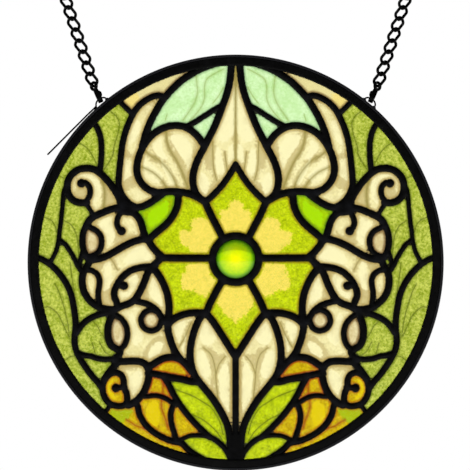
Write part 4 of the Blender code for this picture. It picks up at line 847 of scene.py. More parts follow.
def painted(name, points):
    """The strength of each painted thing at the points of a pane."""
    left = np.stack([-np.abs(points[:, 0]), points[:, 1]], axis=1)
    marks = PAINT.get(name, {})
    out = {kind: np.zeros(len(points)) for kind in ("vein", "streak", "patch")}
    for kind in ("vein", "stroke"):
        for width, knots in marks.get(kind, []):
            gap = gap_to_line(left, [tuple(p) for p in smooth_line(knots, LINE_STEP)])
            out["vein"] = np.maximum(out["vein"], np.exp(-(gap / width) ** 2))
            if kind == "stroke":
                out["patch"] = np.maximum(out["patch"], np.exp(-(gap / STROKE_SHADE) ** 2))
    left = left + 0.25 * np.stack([ripple(left, 5.0, 3), ripple(left, 5.0, 4)], axis=1)
    for kind in ("streak", "patch"):
        for outline in marks.get(kind, []):
            out[kind] = np.maximum(out[kind], in_outline(left, outline, AREA_BLUR))
    return out


def rim_point(angle, radius):
    """A point at degrees left of the panel's top."""
    a = math.radians(angle)
    return Vector((-radius * math.sin(a), 0.0, radius * math.cos(a)))


def loop_points(side, with_tail):
    """A wire arch on the rim, its feet just clear of it. With a tail, the outer foot bends along
    the rim and leaves it in a straight line."""
    lift = CLEARANCE + LOOP_WIRE / 2
    top = LOOP_RISE - LOOP_WIRE / 2
    half = LOOP_SPAN / 2
    first = [(half * math.cos(math.pi * i / LOOP_STEPS),
        CLEARANCE + (top - CLEARANCE) * math.sin(math.pi * i / LOOP_STEPS))
        for i in range(LOOP_STEPS + 1)]
    if with_tail:
        bend = half + LOOP_WIRE
        first = first[:-1] + [(-half - 0.15 * LOOP_WIRE, lift + 0.3 * LOOP_WIRE), (-bend, lift)]
    points = []
    for along, up in first:
        angle = LOOP_ANGLE - math.degrees(along / (PANEL_RADIUS + up))
        points.append(rim_point(angle, PANEL_RADIUS + up))
    if with_tail:
        a = math.radians(TAIL_ANGLE)
        start = rim_point(TAIL_ANGLE, PANEL_RADIUS + lift)
        away = Vector((-math.cos(a), 0.0, -math.sin(a)))
        points += [start, start + away * TAIL_LENGTH / 2, start + away * TAIL_LENGTH]
    return [Vector((side * p.x, p.y, p.z)) for p in points]


def lean(side, tilt):
    """The unit vector that leans outwards by tilt degrees."""
    a = math.radians(tilt)
    return Vector((-side * math.sin(a), 0.0, math.cos(a)))


def clasp_foot(side):
    """The lowest point of a clasp: its bar passes under the loop, clear of the loop and rim."""
    skew = math.radians(LOOP_ANGLE - CLASP_TILT)
    slack = CLEARANCE + CLASP_WIDTH / 2 * math.sin(skew) + 0.15 * MM
    up = LOOP_RISE - LOOP_WIRE - slack - CLASP_BAR
    p = rim_point(LOOP_ANGLE, PANEL_RADIUS + up)
    return Vector((side * p.x, 0.0, p.z))


def clasp_ring_centre(side):
    return clasp_foot(side) + lean(side, CLASP_TILT) * (
        CLASP_LENGTH + CLASP_RING_RADIUS - CLASP_RING_WIRE / 4)


def link_reach():
    """From a link's middle to the middle of its wire, along the chain's line."""
    return (LINK_PITCH + LINK_WIRE - LINK_BITE) / 2


def link_arc():
    """How far a link's end arcs have their middles from the link's own, and their radius."""
    reach, slant = link_reach(), math.radians(LINK_SLANT)
    radius = (LINK_WIDTH - LINK_WIRE) / 2
    return reach * math.cos(slant) - math.sqrt(radius ** 2 - (reach * math.sin(slant)) ** 2), radius


def link_across(side, turn):
    """The direction across a link where it is turned by degrees about the chain's line."""
    up = lean(side, CHAIN_TILT)
    a = math.radians(turn)
    return Vector((up.z, 0.0, -up.x)) * math.cos(a) + Vector((0.0, -side, 0.0)) * math.sin(a)


def link_points(middle, side):
    """One curb link: a stadium that lies aslant, its ends turned opposite ways about the chain's
    line."""
    straight, radius = link_arc()
    slant = math.radians(LINK_SLANT)
    points = []
    for sign in (1, -1):
        for i in range(LINK_STEPS):
            a = math.pi * i / (LINK_STEPS - 1)
            long_way = sign * (straight + radius * math.sin(a))
            short_way = sign * radius * math.cos(a)
            along = long_way * math.cos(slant) + side * short_way * math.sin(slant)
            out = short_way * math.cos(slant) - side * long_way * math.sin(slant)
            points.append(middle + lean(side, CHAIN_TILT) * along
                + link_across(side, LINK_TWIST * along / link_reach()) * out)
    return points


def link_foot_line(side):
    """The direction of a link's wire where it crosses the chain's line at its lower end."""
    straight, _ = link_arc()
    slant = math.radians(LINK_SLANT)
    return (link_across(side, -LINK_TWIST) * (link_reach() - straight * math.cos(slant))
        - lean(side, CHAIN_TILT) * side * straight * math.sin(slant))


def chain_end(side):
    """The middle of the wire at the top of the last link."""
    return clasp_ring_centre(side) + lean(side, CHAIN_TILT) * (
        LINK_PITCH * (CHAIN_LINKS - 1) + 2 * link_reach())


def ring_centre(side):
    """The top ring hangs in the last link, clear of it, in line with the chain."""
    drop = LINK_WIDTH / 2
    return chain_end(side) + lean(side, CHAIN_TILT) * (
        (RING_DIAMETER - RING_WIRE) / 2 - drop + LINK_WIRE / 2)


def hull_of_circles(low, low_radius, high, high_radius, steps):
    """The outline round two circles on the up axis, as one smooth drop."""
    lean_in = math.asin((low_radius - high_radius) / (high - low))
    ring = []
    for i in range(steps + 1):
        a = lean_in + (math.pi - 2 * lean_in) * i / steps
        ring.append(Vector((high_radius * math.cos(a), high + high_radius * math.sin(a))))
    for i in range(steps + 1):
        a = math.pi - lean_in + (math.pi + 2 * lean_in) * i / steps
        ring.append(Vector((low_radius * math.cos(a), low + low_radius * math.sin(a))))
    return ring


def put(tree, kind, props=None, **sockets):
    """Adds a node, sets its properties, and fills or links its inputs, given by name with _ for
    a space, or by number after i."""
    made = tree.nodes.new(kind)
    for key, value in (props or {}).items():
        setattr(made, key, value)
    for key, value in sockets.items():
        by_number = key[0] == "i" and key[1:].isdigit()
        socket = made.inputs[int(key[1:]) if by_number else key.replace("_", " ")]
        if isinstance(value, bpy.types.NodeSocket):
            tree.links.new(value, socket)
        else:
            socket.default_value = value
    return made


def new_material(name):
    """A material with a bare Principled shader on its output: it, its tree and its shader."""
    mat = bpy.data.materials.get(name) or bpy.data.materials.new(name)
    mat.use_nodes = True
    tree = mat.node_tree
    tree.nodes.clear()
    shader = put(tree, "ShaderNodeBsdfPrincipled")
    put(tree, "ShaderNodeOutputMaterial", Surface=shader.outputs[0])
    return mat, tree, shader


def mixed(tree, factor, one, other):
    """The colour between two colours."""
    return put(tree, "ShaderNodeMix", {"data_type": "RGBA"}, i0=factor, i6=one, i7=other).outputs[2]


def clouds(tree, size, low, high, detail=3.0, stretch=(1, 1, 1), shift=0.0):
    """Soft clouds from 0 to 1, with a size in mm. Noise between low and high spans them."""
    coords = put(tree, "ShaderNodeTexCoord").outputs["Object"]
    moved = put(tree, "ShaderNodeMapping", Vector=coords, Location=(shift, 0, 0), Scale=stretch)
    noise = put(tree, "ShaderNodeTexNoise", Vector=moved.outputs[0], Scale=1 / (size * MM),
        Detail=detail, Roughness=0.55)
    return put(tree, "ShaderNodeMapRange", {"interpolation_type": "SMOOTHSTEP"},
        Value=noise.outputs[0], From_Min=low, From_Max=high).outputs[0]


def mark(tree, name):
    return put(tree, "ShaderNodeAttribute", {"attribute_name": name}).outputs["Fac"]


def beside_lead(tree, near, far, strength, uneven=0.0):
    """How strongly something shows beside the leads: fully up to near, not past far, in mm."""
    gap = put(tree, "ShaderNodeMath", {"operation": "MULTIPLY_ADD"},
        i0=clouds(tree, 5.0, 0.3, 0.7, shift=9.0), i1=-uneven, i2=mark(tree, "edge")).outputs[0]
    return put(tree, "ShaderNodeMapRange", {"interpolation_type": "SMOOTHSTEP"}, Value=gap,
        From_Min=near, From_Max=far, To_Min=strength, To_Max=0.0).outputs[0]


def blotchy(tree, name, size, spread, strength=1.0):
    """A painted mark with a grainy border and an uneven body."""
    grain = put(tree, "ShaderNodeMath", {"operation": "MULTIPLY_ADD"},
        i0=clouds(tree, size, 0.3, 0.7, 3.0, shift=13.0), i1=spread, i2=mark(tree, name)).outputs[0]
    return put(tree, "ShaderNodeMapRange", {"interpolation_type": "SMOOTHSTEP"}, Value=grain,
        From_Min=0.3 + spread / 2, From_Max=0.7 + spread / 2, To_Max=strength).outputs[0]


def art_glass(name, light, deep, shade, line, streak=None, patch=None, wide=3.0, wide_strength=0.3,
        narrow=1.1, narrow_strength=0.6, cloud=7.0, grain=1.0, grain_share=0.5,
        patch_strength=1.0, line_strength=0.9, roughness=0.16):
    """Hand-rolled cathedral or opalescent glass: clear soda-lime glass with colour in its body.
    To the eye: it glows with the light behind it, grainy and cloudy where the colour was stirred
    in, with paint fired on beside the leads and a near-black line on the glass along them."""
    mat, tree, shader = new_material(name)
    body = put(tree, "ShaderNodeMix", i0=grain_share, i2=clouds(tree, cloud, 0.35, 0.65),
        i3=clouds(tree, grain, 0.36, 0.64, 2.0, shift=3.0)).outputs[0]
    colour = mixed(tree, body, light, deep)
    if patch:
        other = mixed(tree, put(tree, "ShaderNodeMath", {"operation": "MULTIPLY"}, i0=body,
            i1=0.3).outputs[0], patch, deep)
        colour = mixed(tree, blotchy(tree, "patch", 1.4, 0.9, patch_strength), colour, other)
    if streak:
        colour = mixed(tree, blotchy(tree, "streak", 1.6, 0.4), colour, streak)
    colour = mixed(tree, beside_lead(tree, 0.0, wide, wide_strength, -wide * 0.7), colour, shade)
    colour = mixed(tree, beside_lead(tree, 0.1, narrow, narrow_strength, narrow * 0.4), colour,
        shade)
    stroke = put(tree, "ShaderNodeMath", {"operation": "MULTIPLY"}, i0=mark(tree, "vein"),
        i1=line_strength).outputs[0]
    colour = mixed(tree, stroke, colour, line)
    # A near-black line on the glass beside each lead, full up to 0.08 mm from it and gone by 0.55
    # mm
    colour = mixed(tree, beside_lead(tree, 0.08, 0.55, 0.97), colour, linear("120E0A"))
    tree.links.new(colour, shader.inputs["Base Color"])
    rough = put(tree, "ShaderNodeMapRange", Value=clouds(tree, 2.5, 0.3, 0.7, shift=5.0),
        To_Min=roughness * 0.7, To_Max=roughness * 1.3).outputs[0]
    tree.links.new(rough, shader.inputs["Roughness"])
    bump = put(tree, "ShaderNodeBump", Strength=0.3, Distance=0.2 * MM,
        Height=clouds(tree, 1.6, 0.2, 0.8, shift=7.0)).outputs[0]
    tree.links.new(bump, shader.inputs["Normal"])
    shader.inputs["IOR"].default_value = 1.52
    shader.inputs["Transmission Weight"].default_value = 0.97
    return mat


def jewel_glass(name, middle, edge):
    """A pressed glass jewel, fire-polished. To the eye: a smooth domed drop that gathers the
    light, brightest in the middle and deep green at its rim, darkened there by painted shade that
    fades out over 3 mm."""
    mat, tree, shader = new_material(name)
    stirred = put(tree, "ShaderNodeMath", {"operation": "MULTIPLY_ADD"},
        i0=clouds(tree, 1.2, 0.3, 0.7, 2.0), i1=1.4, i2=mark(tree, "edge")).outputs[0]
    depth = put(tree, "ShaderNodeMapRange", Value=stirred,
        From_Min=1.2, From_Max=9.6).outputs[0]
    colour = mixed(tree, depth, edge, middle)
    # Painted shade: a near-black green ring round the jewel's edge, fading out over 3 mm
    colour = mixed(tree, beside_lead(tree, 0.1, 3.0, 0.96), colour, linear("0E3602"))
    tree.links.new(colour, shader.inputs["Base Color"])
    rough = put(tree, "ShaderNodeMapRange", Value=clouds(tree, 3.0, 0.3, 0.7), To_Min=0.10,
        To_Max=0.18).outputs[0]
    tree.links.new(rough, shader.inputs["Roughness"])
    shader.inputs["IOR"].default_value = 1.52
    shader.inputs["Specular IOR Level"].default_value = 0.2
    shader.inputs["Transmission Weight"].default_value = 0.97
    return mat


def blackened_metal(name, black, sheen, metallic, roughness, grain, depth, patchy_sheen=0.35):
    """Lead, solder or steel under a black patina or paint. To the eye: near black, with a dull
    uneven gloss. A painted blue-grey sheen is mixed into the black in random patches and where
    the points are marked: at the leads' solder joints and on the rim bead's shoulders."""
    mat, tree, shader = new_material(name)
    sheen_mask = put(tree, "ShaderNodeMath", {"operation": "MULTIPLY"},
        i0=clouds(tree, 5.0, 0.45, 0.75), i1=patchy_sheen).outputs[0]
    painted_sheen = put(tree, "ShaderNodeMath", {"operation": "MAXIMUM"}, i0=sheen_mask, i1=mark(tree, "painted_sheen"))
    # Painted highlight: the sheen colour stands in for light on the metal
    tree.links.new(mixed(tree, painted_sheen.outputs[0], black, sheen), shader.inputs["Base Color"])
    rough = put(tree, "ShaderNodeMapRange", Value=clouds(tree, 1.6, 0.3, 0.7, shift=2.0),
        To_Min=roughness * 0.8, To_Max=roughness * 1.2).outputs[0]
    tree.links.new(rough, shader.inputs["Roughness"])
    bump = put(tree, "ShaderNodeBump", Strength=0.35, Distance=depth * MM,
        Height=clouds(tree, grain, 0.25, 0.75, 4.0)).outputs[0]
    tree.links.new(bump, shader.inputs["Normal"])
    shader.inputs["Metallic"].default_value = metallic
    shader.inputs["Specular IOR Level"].default_value = 0.2
    return mat


def glass_finishes(c):
    """The finish of each kind of glass, by the name of its slot."""
    return {
        "cream": art_glass("cream_opalescent_glass", c.cream_light, c.cream_deep, c.cream_shade,
            c.cream_line, streak=c.cream_streak, patch=c.cream_shade, wide=5.0, wide_strength=0.4,
            narrow=1.4, narrow_strength=0.8, grain=0.9, grain_share=0.45, patch_strength=0.6,
            line_strength=0.85),
        "straw": art_glass("straw_opalescent_glass", c.cream_deep, c.cream_deep, c.tan_shade,
            c.cream_line, patch=c.straw, wide_strength=0.5, narrow_strength=0.8,
            patch_strength=0.8),
        "tan": art_glass("tan_opalescent_glass", c.tan_light, c.tan_deep, c.tan_shade,
            c.tan_shade, wide=2.6, wide_strength=0.5, narrow=1.4, narrow_strength=0.9,
            grain_share=0.3),
        "olive": art_glass("olive_cathedral_glass", c.olive_light, c.olive_deep, c.olive_line,
            c.olive_line, wide_strength=0.2, grain=1.15, grain_share=0.75, cloud=3.4),
        "mint": art_glass("mint_opalescent_glass", c.mint_light, c.mint_deep, c.mint_shade,
            c.olive_deep, wide_strength=0.3, narrow_strength=0.7, line_strength=0.6),
        "green": art_glass("green_cathedral_glass", c.pod_green, c.lime_deep, c.pod_edge,
            c.olive_line, streak=c.pod_green, wide=2.8, wide_strength=0.75, narrow_strength=0.85),
        "lime_honey": art_glass("lime_and_honey_glass", c.lime_light, c.lime_deep, c.petal_edge,
            c.olive_line, patch=c.honey, wide=2.4, wide_strength=0.5, narrow=1.2,
            narrow_strength=0.85, cloud=3.5, grain_share=0.65),
        "lime": art_glass("lime_cathedral_glass", c.lime_light, c.lime_deep, c.olive_line,
            c.olive_line, wide=2.2, wide_strength=0.35, narrow_strength=0.6, cloud=4.5),
        "amber": art_glass("amber_cathedral_glass", c.amber_light, c.amber_deep, c.rust,
            c.rust, streak=c.amber_light, patch=c.strip_green, wide=2.4, wide_strength=0.25,
            cloud=3.0, grain_share=0.6),
        "orange": art_glass("orange_amber_glass", c.amber_light, c.amber_deep, c.rust, c.rust,
            wide=3.0, wide_strength=0.5, narrow_strength=0.9, cloud=3.0, grain_share=0.6),
    }


def lead_finish(c):
    return blackened_metal("black_patina_lead_came", c.patina, c.solder, 0.3, 0.42, 0.8, 0.10)


def rim_finish(c):
    return blackened_metal("black_painted_rim_channel", c.rim_black, c.rim_highlight, 0.2, 0.38, 1.2,
        0.05, 0.08)


def wire_finish(c):
    return blackened_metal("blackened_steel_wire", c.wire_black, c.solder, 0.5, 0.36, 0.6, 0.03)


def fresh_mesh(name):
    """An empty mesh. An older object of that name goes with its mesh."""
    old = bpy.data.objects.get(name)
    if old:
        bpy.data.meshes.remove(old.data)
    return bpy.data.meshes.new(name)


def mark_points(mesh, key, values):
    """Puts a number on each point, for the materials to read."""
    mesh.attributes.new(key, "FLOAT", "POINT").data.foreach_set("value", values)


def placed(name, mesh, mats, sharp):
    """The object of a mesh, smooth, with its materials, in the scene."""
    for mat in mats:
        mesh.materials.append(mat)
    mesh.shade_smooth()
    mesh.set_sharp_from_angle(angle=math.radians(sharp))
    ob = bpy.data.objects.new(name, mesh)
    bpy.context.scene.collection.objects.link(ob)
    return ob


def to_object(name, vertices, faces, mats, index=None, marks=None, sharp=50.0):
    """A piece from arrays of points and faces, with marks on its points. Points that no face
    uses are left out."""
    used = np.unique(np.concatenate([np.ravel(f) for f in faces]))
    renumber = np.zeros(len(vertices), int)
    renumber[used] = np.arange(len(used))
    mesh = fresh_mesh(name)
    mesh.from_pydata(np.asarray(vertices)[used].tolist(), [],
        [row for f in faces for row in renumber[f].tolist()])
    ob = placed(name, mesh, mats, sharp)
    if index is not None:
        mesh.polygons.foreach_set("material_index", index)
    for key, values in (marks or {}).items():
        mark_points(mesh, key, np.asarray(values, dtype=np.float32)[used])
    return ob


def from_bmesh(name, bm, mats, sharp=50.0):
    """A piece from a bmesh, its faces turned outwards."""
    bmesh.ops.recalc_face_normals(bm, faces=bm.faces)
    mesh = fresh_mesh(name)
    bm.to_mesh(mesh)
    bm.free()
    return placed(name, mesh, mats, sharp)


def hand_over(ob, node):
    """Makes a finished piece stand for its node of the frame."""
    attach(ob, "root")
    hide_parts(node)


def make_leading(sizes, finish):
    """The whole net of lead as one closed mesh: round-faced cames that go through, and the cames
    that lie on the glass."""
    plan = panel_plan()
    half = GLASS_THICKNESS / MM / 2
    crown, foot, shoulder, rise = (v / MM for v in
        (sizes.lead_crown, sizes.lead_foot, sizes.lead_shoulder, sizes.solder_rise))
    ends = tree_of([end for _, _, layer, line in came_lines(LINE_STEP) if layer == "through"
        for end in (line[0], line[-1])])
    solder = np.exp(-(np.array([ends.find((x, y, 0.0))[2] for x, y in plan.points]) / 2.0) ** 2)
    uneven = 0.03 * ripple(plan.points, 3.0, 11) + 0.02 * ripple(plan.points, 1.3, 12)

    def height(gap):
        rounding = np.sqrt(1 - (1 - np.clip(gap / shoulder, 0, 1)) ** 2)
        return foot + rounding * (crown - foot + solder * rise + uneven)

    points, triangles, kind, n = plan.points, plan.triangles, plan.kind, len(plan.points)
    layers = np.concatenate([place(points, -half - height(plan.edge_gap)),
        place(points, half + height(plan.through_gap)), place(points, -half + 0.05)])
    walls = []
    for a, b, k_left, k_right, _, _ in plan.borders:
        p, q, own, other = (a, b, k_left, k_right) if k_left > k_right else (b, a, k_right, k_left)
        if other == 0:
            walls.append((q, p, p + 2 * n, q + 2 * n))
        if own == 2:
            walls.append((q + 2 * n, p + 2 * n, p + n, q + n))
    faces = [triangles[kind > 0], triangles[kind == 2][:, ::-1] + n,
        triangles[kind == 1][:, ::-1] + 2 * n, np.array(walls)]
    # Painted highlight: the sheen colour is laid on near the ends of the through cames, where the
    # solder joints are
    ob = to_object("lead_cames", layers, faces, [finish],
        marks={"painted_sheen": np.tile(solder, 3) * 0.7})
    hand_over(ob, "leading")


def make_panes(sizes, finishes):
    """Every pane, cut to the leads that go through, with its painting and its inlaid glass."""
    plan = panel_plan()
    half, wave = GLASS_THICKNESS / MM / 2, sizes.glass_wave / MM
    inlaid = {}
    for spot, kind in INLAYS.values():
        for side in (1, -1):
            inlaid[plan.area[plan.triangle_at(side * spot[0], spot[1])]] = kind
    claimed = set()
    for count, (name, full_name, spot, kind) in enumerate(pane_places()):
        found = plan.triangle_at(*spot)
        pane = plan.pane[found]
        if plan.kind[found] == 2 or pane in claimed:
            raise RuntimeError(f"the pane {full_name} has no place of its own")
        claimed.add(pane)
        mine = plan.pane == pane
        triangles, areas = plan.triangles[mine], plan.area[mine]
        used, local = np.unique(triangles, return_inverse=True)
        local = local.reshape(-1, 3)
        points = plan.points[used]
        number = {p: i for i, p in enumerate(used.tolist())}
        # The pane's edge goes a little way into the leads
        outward, walls, n = np.zeros_like(points), [], len(points)
        for a, b, k_left, k_right, left, right in plan.borders:
            if k_left != 2 and plan.pane[left] == pane and k_right == 2:
                p, q = number[a], number[b]
            elif k_right != 2 and right >= 0 and plan.pane[right] == pane and k_left == 2:
                p, q = number[b], number[a]
            else:
                continue
            run = points[q] - points[p]
            for v in (p, q):
                outward[v] += (run[1], -run[0])
            walls.append((q, p, p + n, q + n))
        size = np.linalg.norm(outward, axis=1, keepdims=True)
        moved = points + PANE_BITE * outward / np.where(size > 0, size, 1)
        layers = np.concatenate([
            place(moved, -half + wave * ripple(points, 9.0, 40 + count)),
            place(moved, half + wave * ripple(points, 9.0, 90 + count))])
        kinds = [kind] + sorted({inlaid[a] for a in set(areas.tolist()) if a in inlaid})
        index = [kinds.index(inlaid.get(a, kind)) for a in areas.tolist()]
        marks = painted(name, points)
        marks["edge"] = plan.edge_gap[used]
        ob = to_object("pane_" + full_name, layers,
            [local, local[:, ::-1] + n, np.array(walls)], [finishes[k] for k in kinds],
            index + index + [0] * len(walls), {k: np.tile(v, 2) for k, v in marks.items()})
        hand_over(ob, "glass_" + full_name)


def lathe(bm, profile, steps, axis_point):
    """Turns a profile of (radius, depth) pairs about an axis that runs to the back."""
    rings = []
    for radius, depth in profile:
        if radius == 0:
            rings.append([bm.verts.new(axis_point + Vector((0, depth, 0)))])
            continue
        rings.append([bm.verts.new(axis_point + Vector((radius * math.cos(math.tau * i / steps),
            depth, radius * math.sin(math.tau * i / steps)))) for i in range(steps)])
    return rings


def skin(bm, rings, closed):
    """Faces between each ring of points and the next; a single point ends in a fan."""
    pairs = list(zip(rings, rings[1:])) + ([(rings[-1], rings[0])] if closed else [])
    for one, other in pairs:
        count = max(len(one), len(other))
        for i in range(count):
            j = (i + 1) % count
            if len(one) == 1:
                bm.faces.new((one[0], other[j], other[i]))
            elif len(other) == 1:
                bm.faces.new((one[i], one[j], other[0]))
            else:
                bm.faces.new((one[i], one[j], other[j], other[i]))


def make_rim(sizes, finish):
    """The channel: lips rolled in towards the glass, and a bead set off by a fine groove."""
    radius, deep, groove = PANEL_RADIUS, RIM_HALF_DEPTH, sizes.rim_bead
    lip = radius - RIM_FACE
    inner = LEAD_HALF_DEPTH + CLEARANCE
    half = [(radius - RIM_WALL, -inner + 0.1 * MM), (lip + 0.5 * MM, -inner)]
    for i in range(7):
        a = math.radians(-60 + 25 * i)
        half.append((lip + LIP_ROLL - LIP_ROLL * math.cos(a),
            -(deep + inner) / 2 - (deep - inner) / 2 * math.sin(a)))
    half += [(lip + 1.2 * MM, -deep), (radius - 2.3 * MM, -deep + 0.04 * MM),
        (radius - 1.62 * MM, -deep + 0.06 * MM), (radius - 1.42 * MM, -deep + groove),
        (radius - 1.30 * MM, -deep + groove), (radius - 1.12 * MM, -deep + 0.04 * MM)]
    for i in range(6):
        a = math.radians(18 * i)
        half.append((radius - BEAD + BEAD * math.sin(a), -deep + BEAD - BEAD * math.cos(a)))
    profile = half + [(r, -y) for r, y in reversed(half)]
    bm = bmesh.new()
    skin(bm, lathe(bm, profile, RIM_STEPS, CENTRE), True)
    ob = from_bmesh("rim_channel", bm, [finish])
    # Painted highlights: two thin lines of the sheen colour along the bead's shoulders, standing in
    # for reflected light
    sheen_mask = [max(math.exp(-((PANEL_RADIUS - at - (v.co - CENTRE).xz.length) / (0.25 * MM)) ** 2)
        for at in (1.1 * MM, 0.35 * MM)) if abs(v.co.y) > deep - 0.3 * MM else 0.0
        for v in ob.data.vertices]
    mark_points(ob.data, "painted_sheen", sheen_mask)
    hand_over(ob, "rim")


def make_jewel(sizes, finish):
    """A smooth drop of pressed glass: a full dome in front, a flat back with a rounded edge."""
    radius, half = JEWEL_RADIUS + PANE_BITE * MM, GLASS_THICKNESS / 2
    profile = [(0.0, half), (radius * 0.5, half), (radius - 0.5 * MM, half),
        (radius - 0.15 * MM, half - 0.15 * MM), (radius, half - 0.5 * MM), (radius, -half)]
    for i in range(1, 15):
        out = math.cos(math.pi / 2 * i / 14) if i < 14 else 0.0
        profile.append((radius * out, -half - sizes.jewel_rise * (1 - out ** 2.4)))
    middle = CENTRE + Vector((JEWEL_CENTRE[0] * MM, 0, JEWEL_CENTRE[1] * MM))
    bm = bmesh.new()
    skin(bm, lathe(bm, profile, JEWEL_STEPS, middle), False)
    ob = from_bmesh("jewel", bm, [finish], 60.0)
    gap = [(radius - math.hypot(v.co.x - middle.x, v.co.z - middle.z)) / MM
        for v in ob.data.vertices]
    mark_points(ob.data, "edge", gap)
    hand_over(ob, "glass_jewel")


def tube(bm, path, radius, closed=False, sides=12):
    """A round wire along a path, its ends domed."""
    path, radii = list(path), [radius] * len(path)
    if not closed:
        for end, beside in ((0, 1), (-1, -2)):
            out = (path[end] - path[beside]).normalized()
            tips = [(path[end] + out * radius * math.sin(a), radius * math.cos(a))
                for a in (math.radians(35), math.radians(70))]
            if end:
                path += [p for p, _ in tips]
                radii += [r for _, r in tips]
            else:
                path = [p for p, _ in reversed(tips)] + path
                radii = [r for _, r in reversed(tips)] + radii
    count = len(path)
    heads = [(path[(i + 1) % count if closed else min(i + 1, count - 1)]
        - path[i - 1 if closed else max(i - 1, 0)]).normalized() for i in range(count)]
    normals = [heads[0].orthogonal().normalized()]
    for head in heads[1:]:
        normals.append((normals[-1] - head * normals[-1].dot(head)).normalized())
    slip = 0.0
    if closed:
        last = (normals[-1] - heads[0] * normals[-1].dot(heads[0])).normalized()
        slip = math.atan2(last.cross(normals[0]).dot(heads[0]), last.dot(normals[0]))
    rings = []
    for i, (p, head, normal, r) in enumerate(zip(path, heads, normals, radii)):
        side = head.cross(normal)
        turn = slip * i / count
        rings.append([bm.verts.new(p + r * (normal * math.cos(turn + math.tau * k / sides)
            + side * math.sin(turn + math.tau * k / sides))) for k in range(sides)])
    skin(bm, rings, closed)
    if not closed:
        bm.faces.new(rings[0])
        bm.faces.new(rings[-1])


def blob(bm, middle, axes, steps=16):
    """A smooth closed drop, stretched along three axes."""
    stretch = Matrix.Translation(middle) @ Matrix(axes).transposed().to_4x4()
    bmesh.ops.create_uvsphere(bm, u_segments=steps, v_segments=steps // 2, radius=1.0,
        matrix=stretch)


def make_loop(side, name, finish):
    """A bent wire soldered to the rim at its feet; the left one keeps its loose end of wire."""
    points = [p + CENTRE for p in loop_points(side, side > 0)]
    bm = bmesh.new()
    tube(bm, points, LOOP_WIRE / 2)
    feet = [points[0], points[LOOP_STEPS if side < 0 else LOOP_STEPS + 1]]
    for foot in feet:
        out = (foot - CENTRE).normalized()
        along = Vector((out.z, 0, -out.x))
        at = CENTRE + out * (PANEL_RADIUS + 0.05 * MM)
        blob(bm, at, (along * 1.05 * MM, Vector((0, 0.95 * MM, 0)), out * 0.62 * MM))
    ob = from_bmesh(name + "_wire", bm, [finish], 70.0)
    hand_over(ob, name)


def flat_part(rings, half, bevel):
    """The mesh of a flat part from its outlines, its edges rounded."""
    curve = bpy.data.curves.new("outline", "CURVE")
    curve.dimensions = "2D"
    curve.fill_mode = "BOTH"
    curve.extrude = half - bevel
    curve.bevel_depth = bevel
    curve.bevel_resolution = 3
    curve.offset = -bevel
    for ring in rings:
        spline = curve.splines.new("POLY")
        spline.points.add(len(ring) - 1)
        for point, (x, y) in zip(spline.points, ring):
            point.co = (x, y, 0, 1)
        spline.use_cyclic_u = True
    ob = bpy.data.objects.new("outline", curve)
    bpy.context.scene.collection.objects.link(ob)
    graph = bpy.context.evaluated_depsgraph_get()
    mesh = bpy.data.meshes.new_from_object(ob.evaluated_get(graph))
    bpy.data.curves.remove(curve)
    return mesh


def make_clasp(side, name, finish):
    """A cast lobster clasp on its edge: the hook, its sprung lever with thumb knob and rivet, and
    the ring that the chain begins at."""
    low = CLASP_DEPTH / 2
    outline = hull_of_circles(low, low, CLASP_LENGTH - CLASP_NECK / 2, CLASP_NECK / 2, 24)
    hole_low = low - CLASP_BAR
    hole = hull_of_circles(low, hole_low, CLASP_BAR + CLASP_HOLE_LENGTH - hole_low / 2,
        hole_low / 2, 18)
    up = lean(side, CLASP_TILT)
    across = Vector((up.z, 0.0, -up.x))
    turn = Matrix((Vector((0.0, 1.0, 0.0)), up, across)).transposed().to_4x4()
    foot = clasp_foot(side) + CENTRE
    mesh = flat_part([outline, hole], CLASP_WIDTH / 2 + CLASP_SWELL, CLASP_EDGE)
    for v in mesh.vertices:
        v.co.z *= 0.92 + 0.08 * math.sin(math.pi * min(max(v.co.y / CLASP_LENGTH, 0), 1))
    mesh.transform(Matrix.Translation(foot) @ turn)
    bm = bmesh.new()
    bm.from_mesh(mesh)
    bpy.data.meshes.remove(mesh)
    bmesh.ops.remove_doubles(bm, verts=bm.verts, dist=1e-6)
    lever = foot + up * CLASP_LENGTH * 0.58 + across * side * CLASP_WIDTH * 0.42
    blob(bm, lever, (Vector((0, CLASP_DEPTH * 0.20, 0)), up * 1.7 * MM,
        across * LEVER_BULGE), 20)
    blob(bm, lever + up * 0.5 * MM, (Vector((0, CLASP_DEPTH * 0.12, 0)), up * 0.5 * MM,
        across * (LEVER_BULGE + 0.1 * MM)))
    for way in (1, -1):
        rivet = foot + up * CLASP_LENGTH * 0.86 + across * way * CLASP_WIDTH * 0.42
        blob(bm, rivet, (Vector((0, 0.5 * MM, 0)), up * 0.5 * MM, across * 0.22 * MM))
    middle = clasp_ring_centre(side) + CENTRE
    one = link_foot_line(side).orthogonal().normalized()
    other = link_foot_line(side).normalized().cross(one)
    ring = [middle + CLASP_RING_RADIUS * (one * math.cos(math.tau * i / CLASP_RING_STEPS)
        + other * math.sin(math.tau * i / CLASP_RING_STEPS)) for i in range(CLASP_RING_STEPS)]
    tube(bm, ring, CLASP_RING_WIRE * CLASP_RING_SHARE, True)
    ob = from_bmesh(name + "_cast", bm, [finish])
    hand_over(ob, name)


def make_chain(side, name, finish):
    """A curb chain: links of round wire, each twisted so that they lie side by side."""
    first = clasp_ring_centre(side) + lean(side, CHAIN_TILT) * link_reach() + CENTRE
    bm = bmesh.new()
    for i in range(CHAIN_LINKS):
        middle = first + lean(side, CHAIN_TILT) * LINK_PITCH * i
        tube(bm, link_points(middle, side), LINK_WIRE / 2 + LINK_SWELL, True, 10)
    ob = from_bmesh(name + "_links", bm, [finish], 70.0)
    hand_over(ob, name)


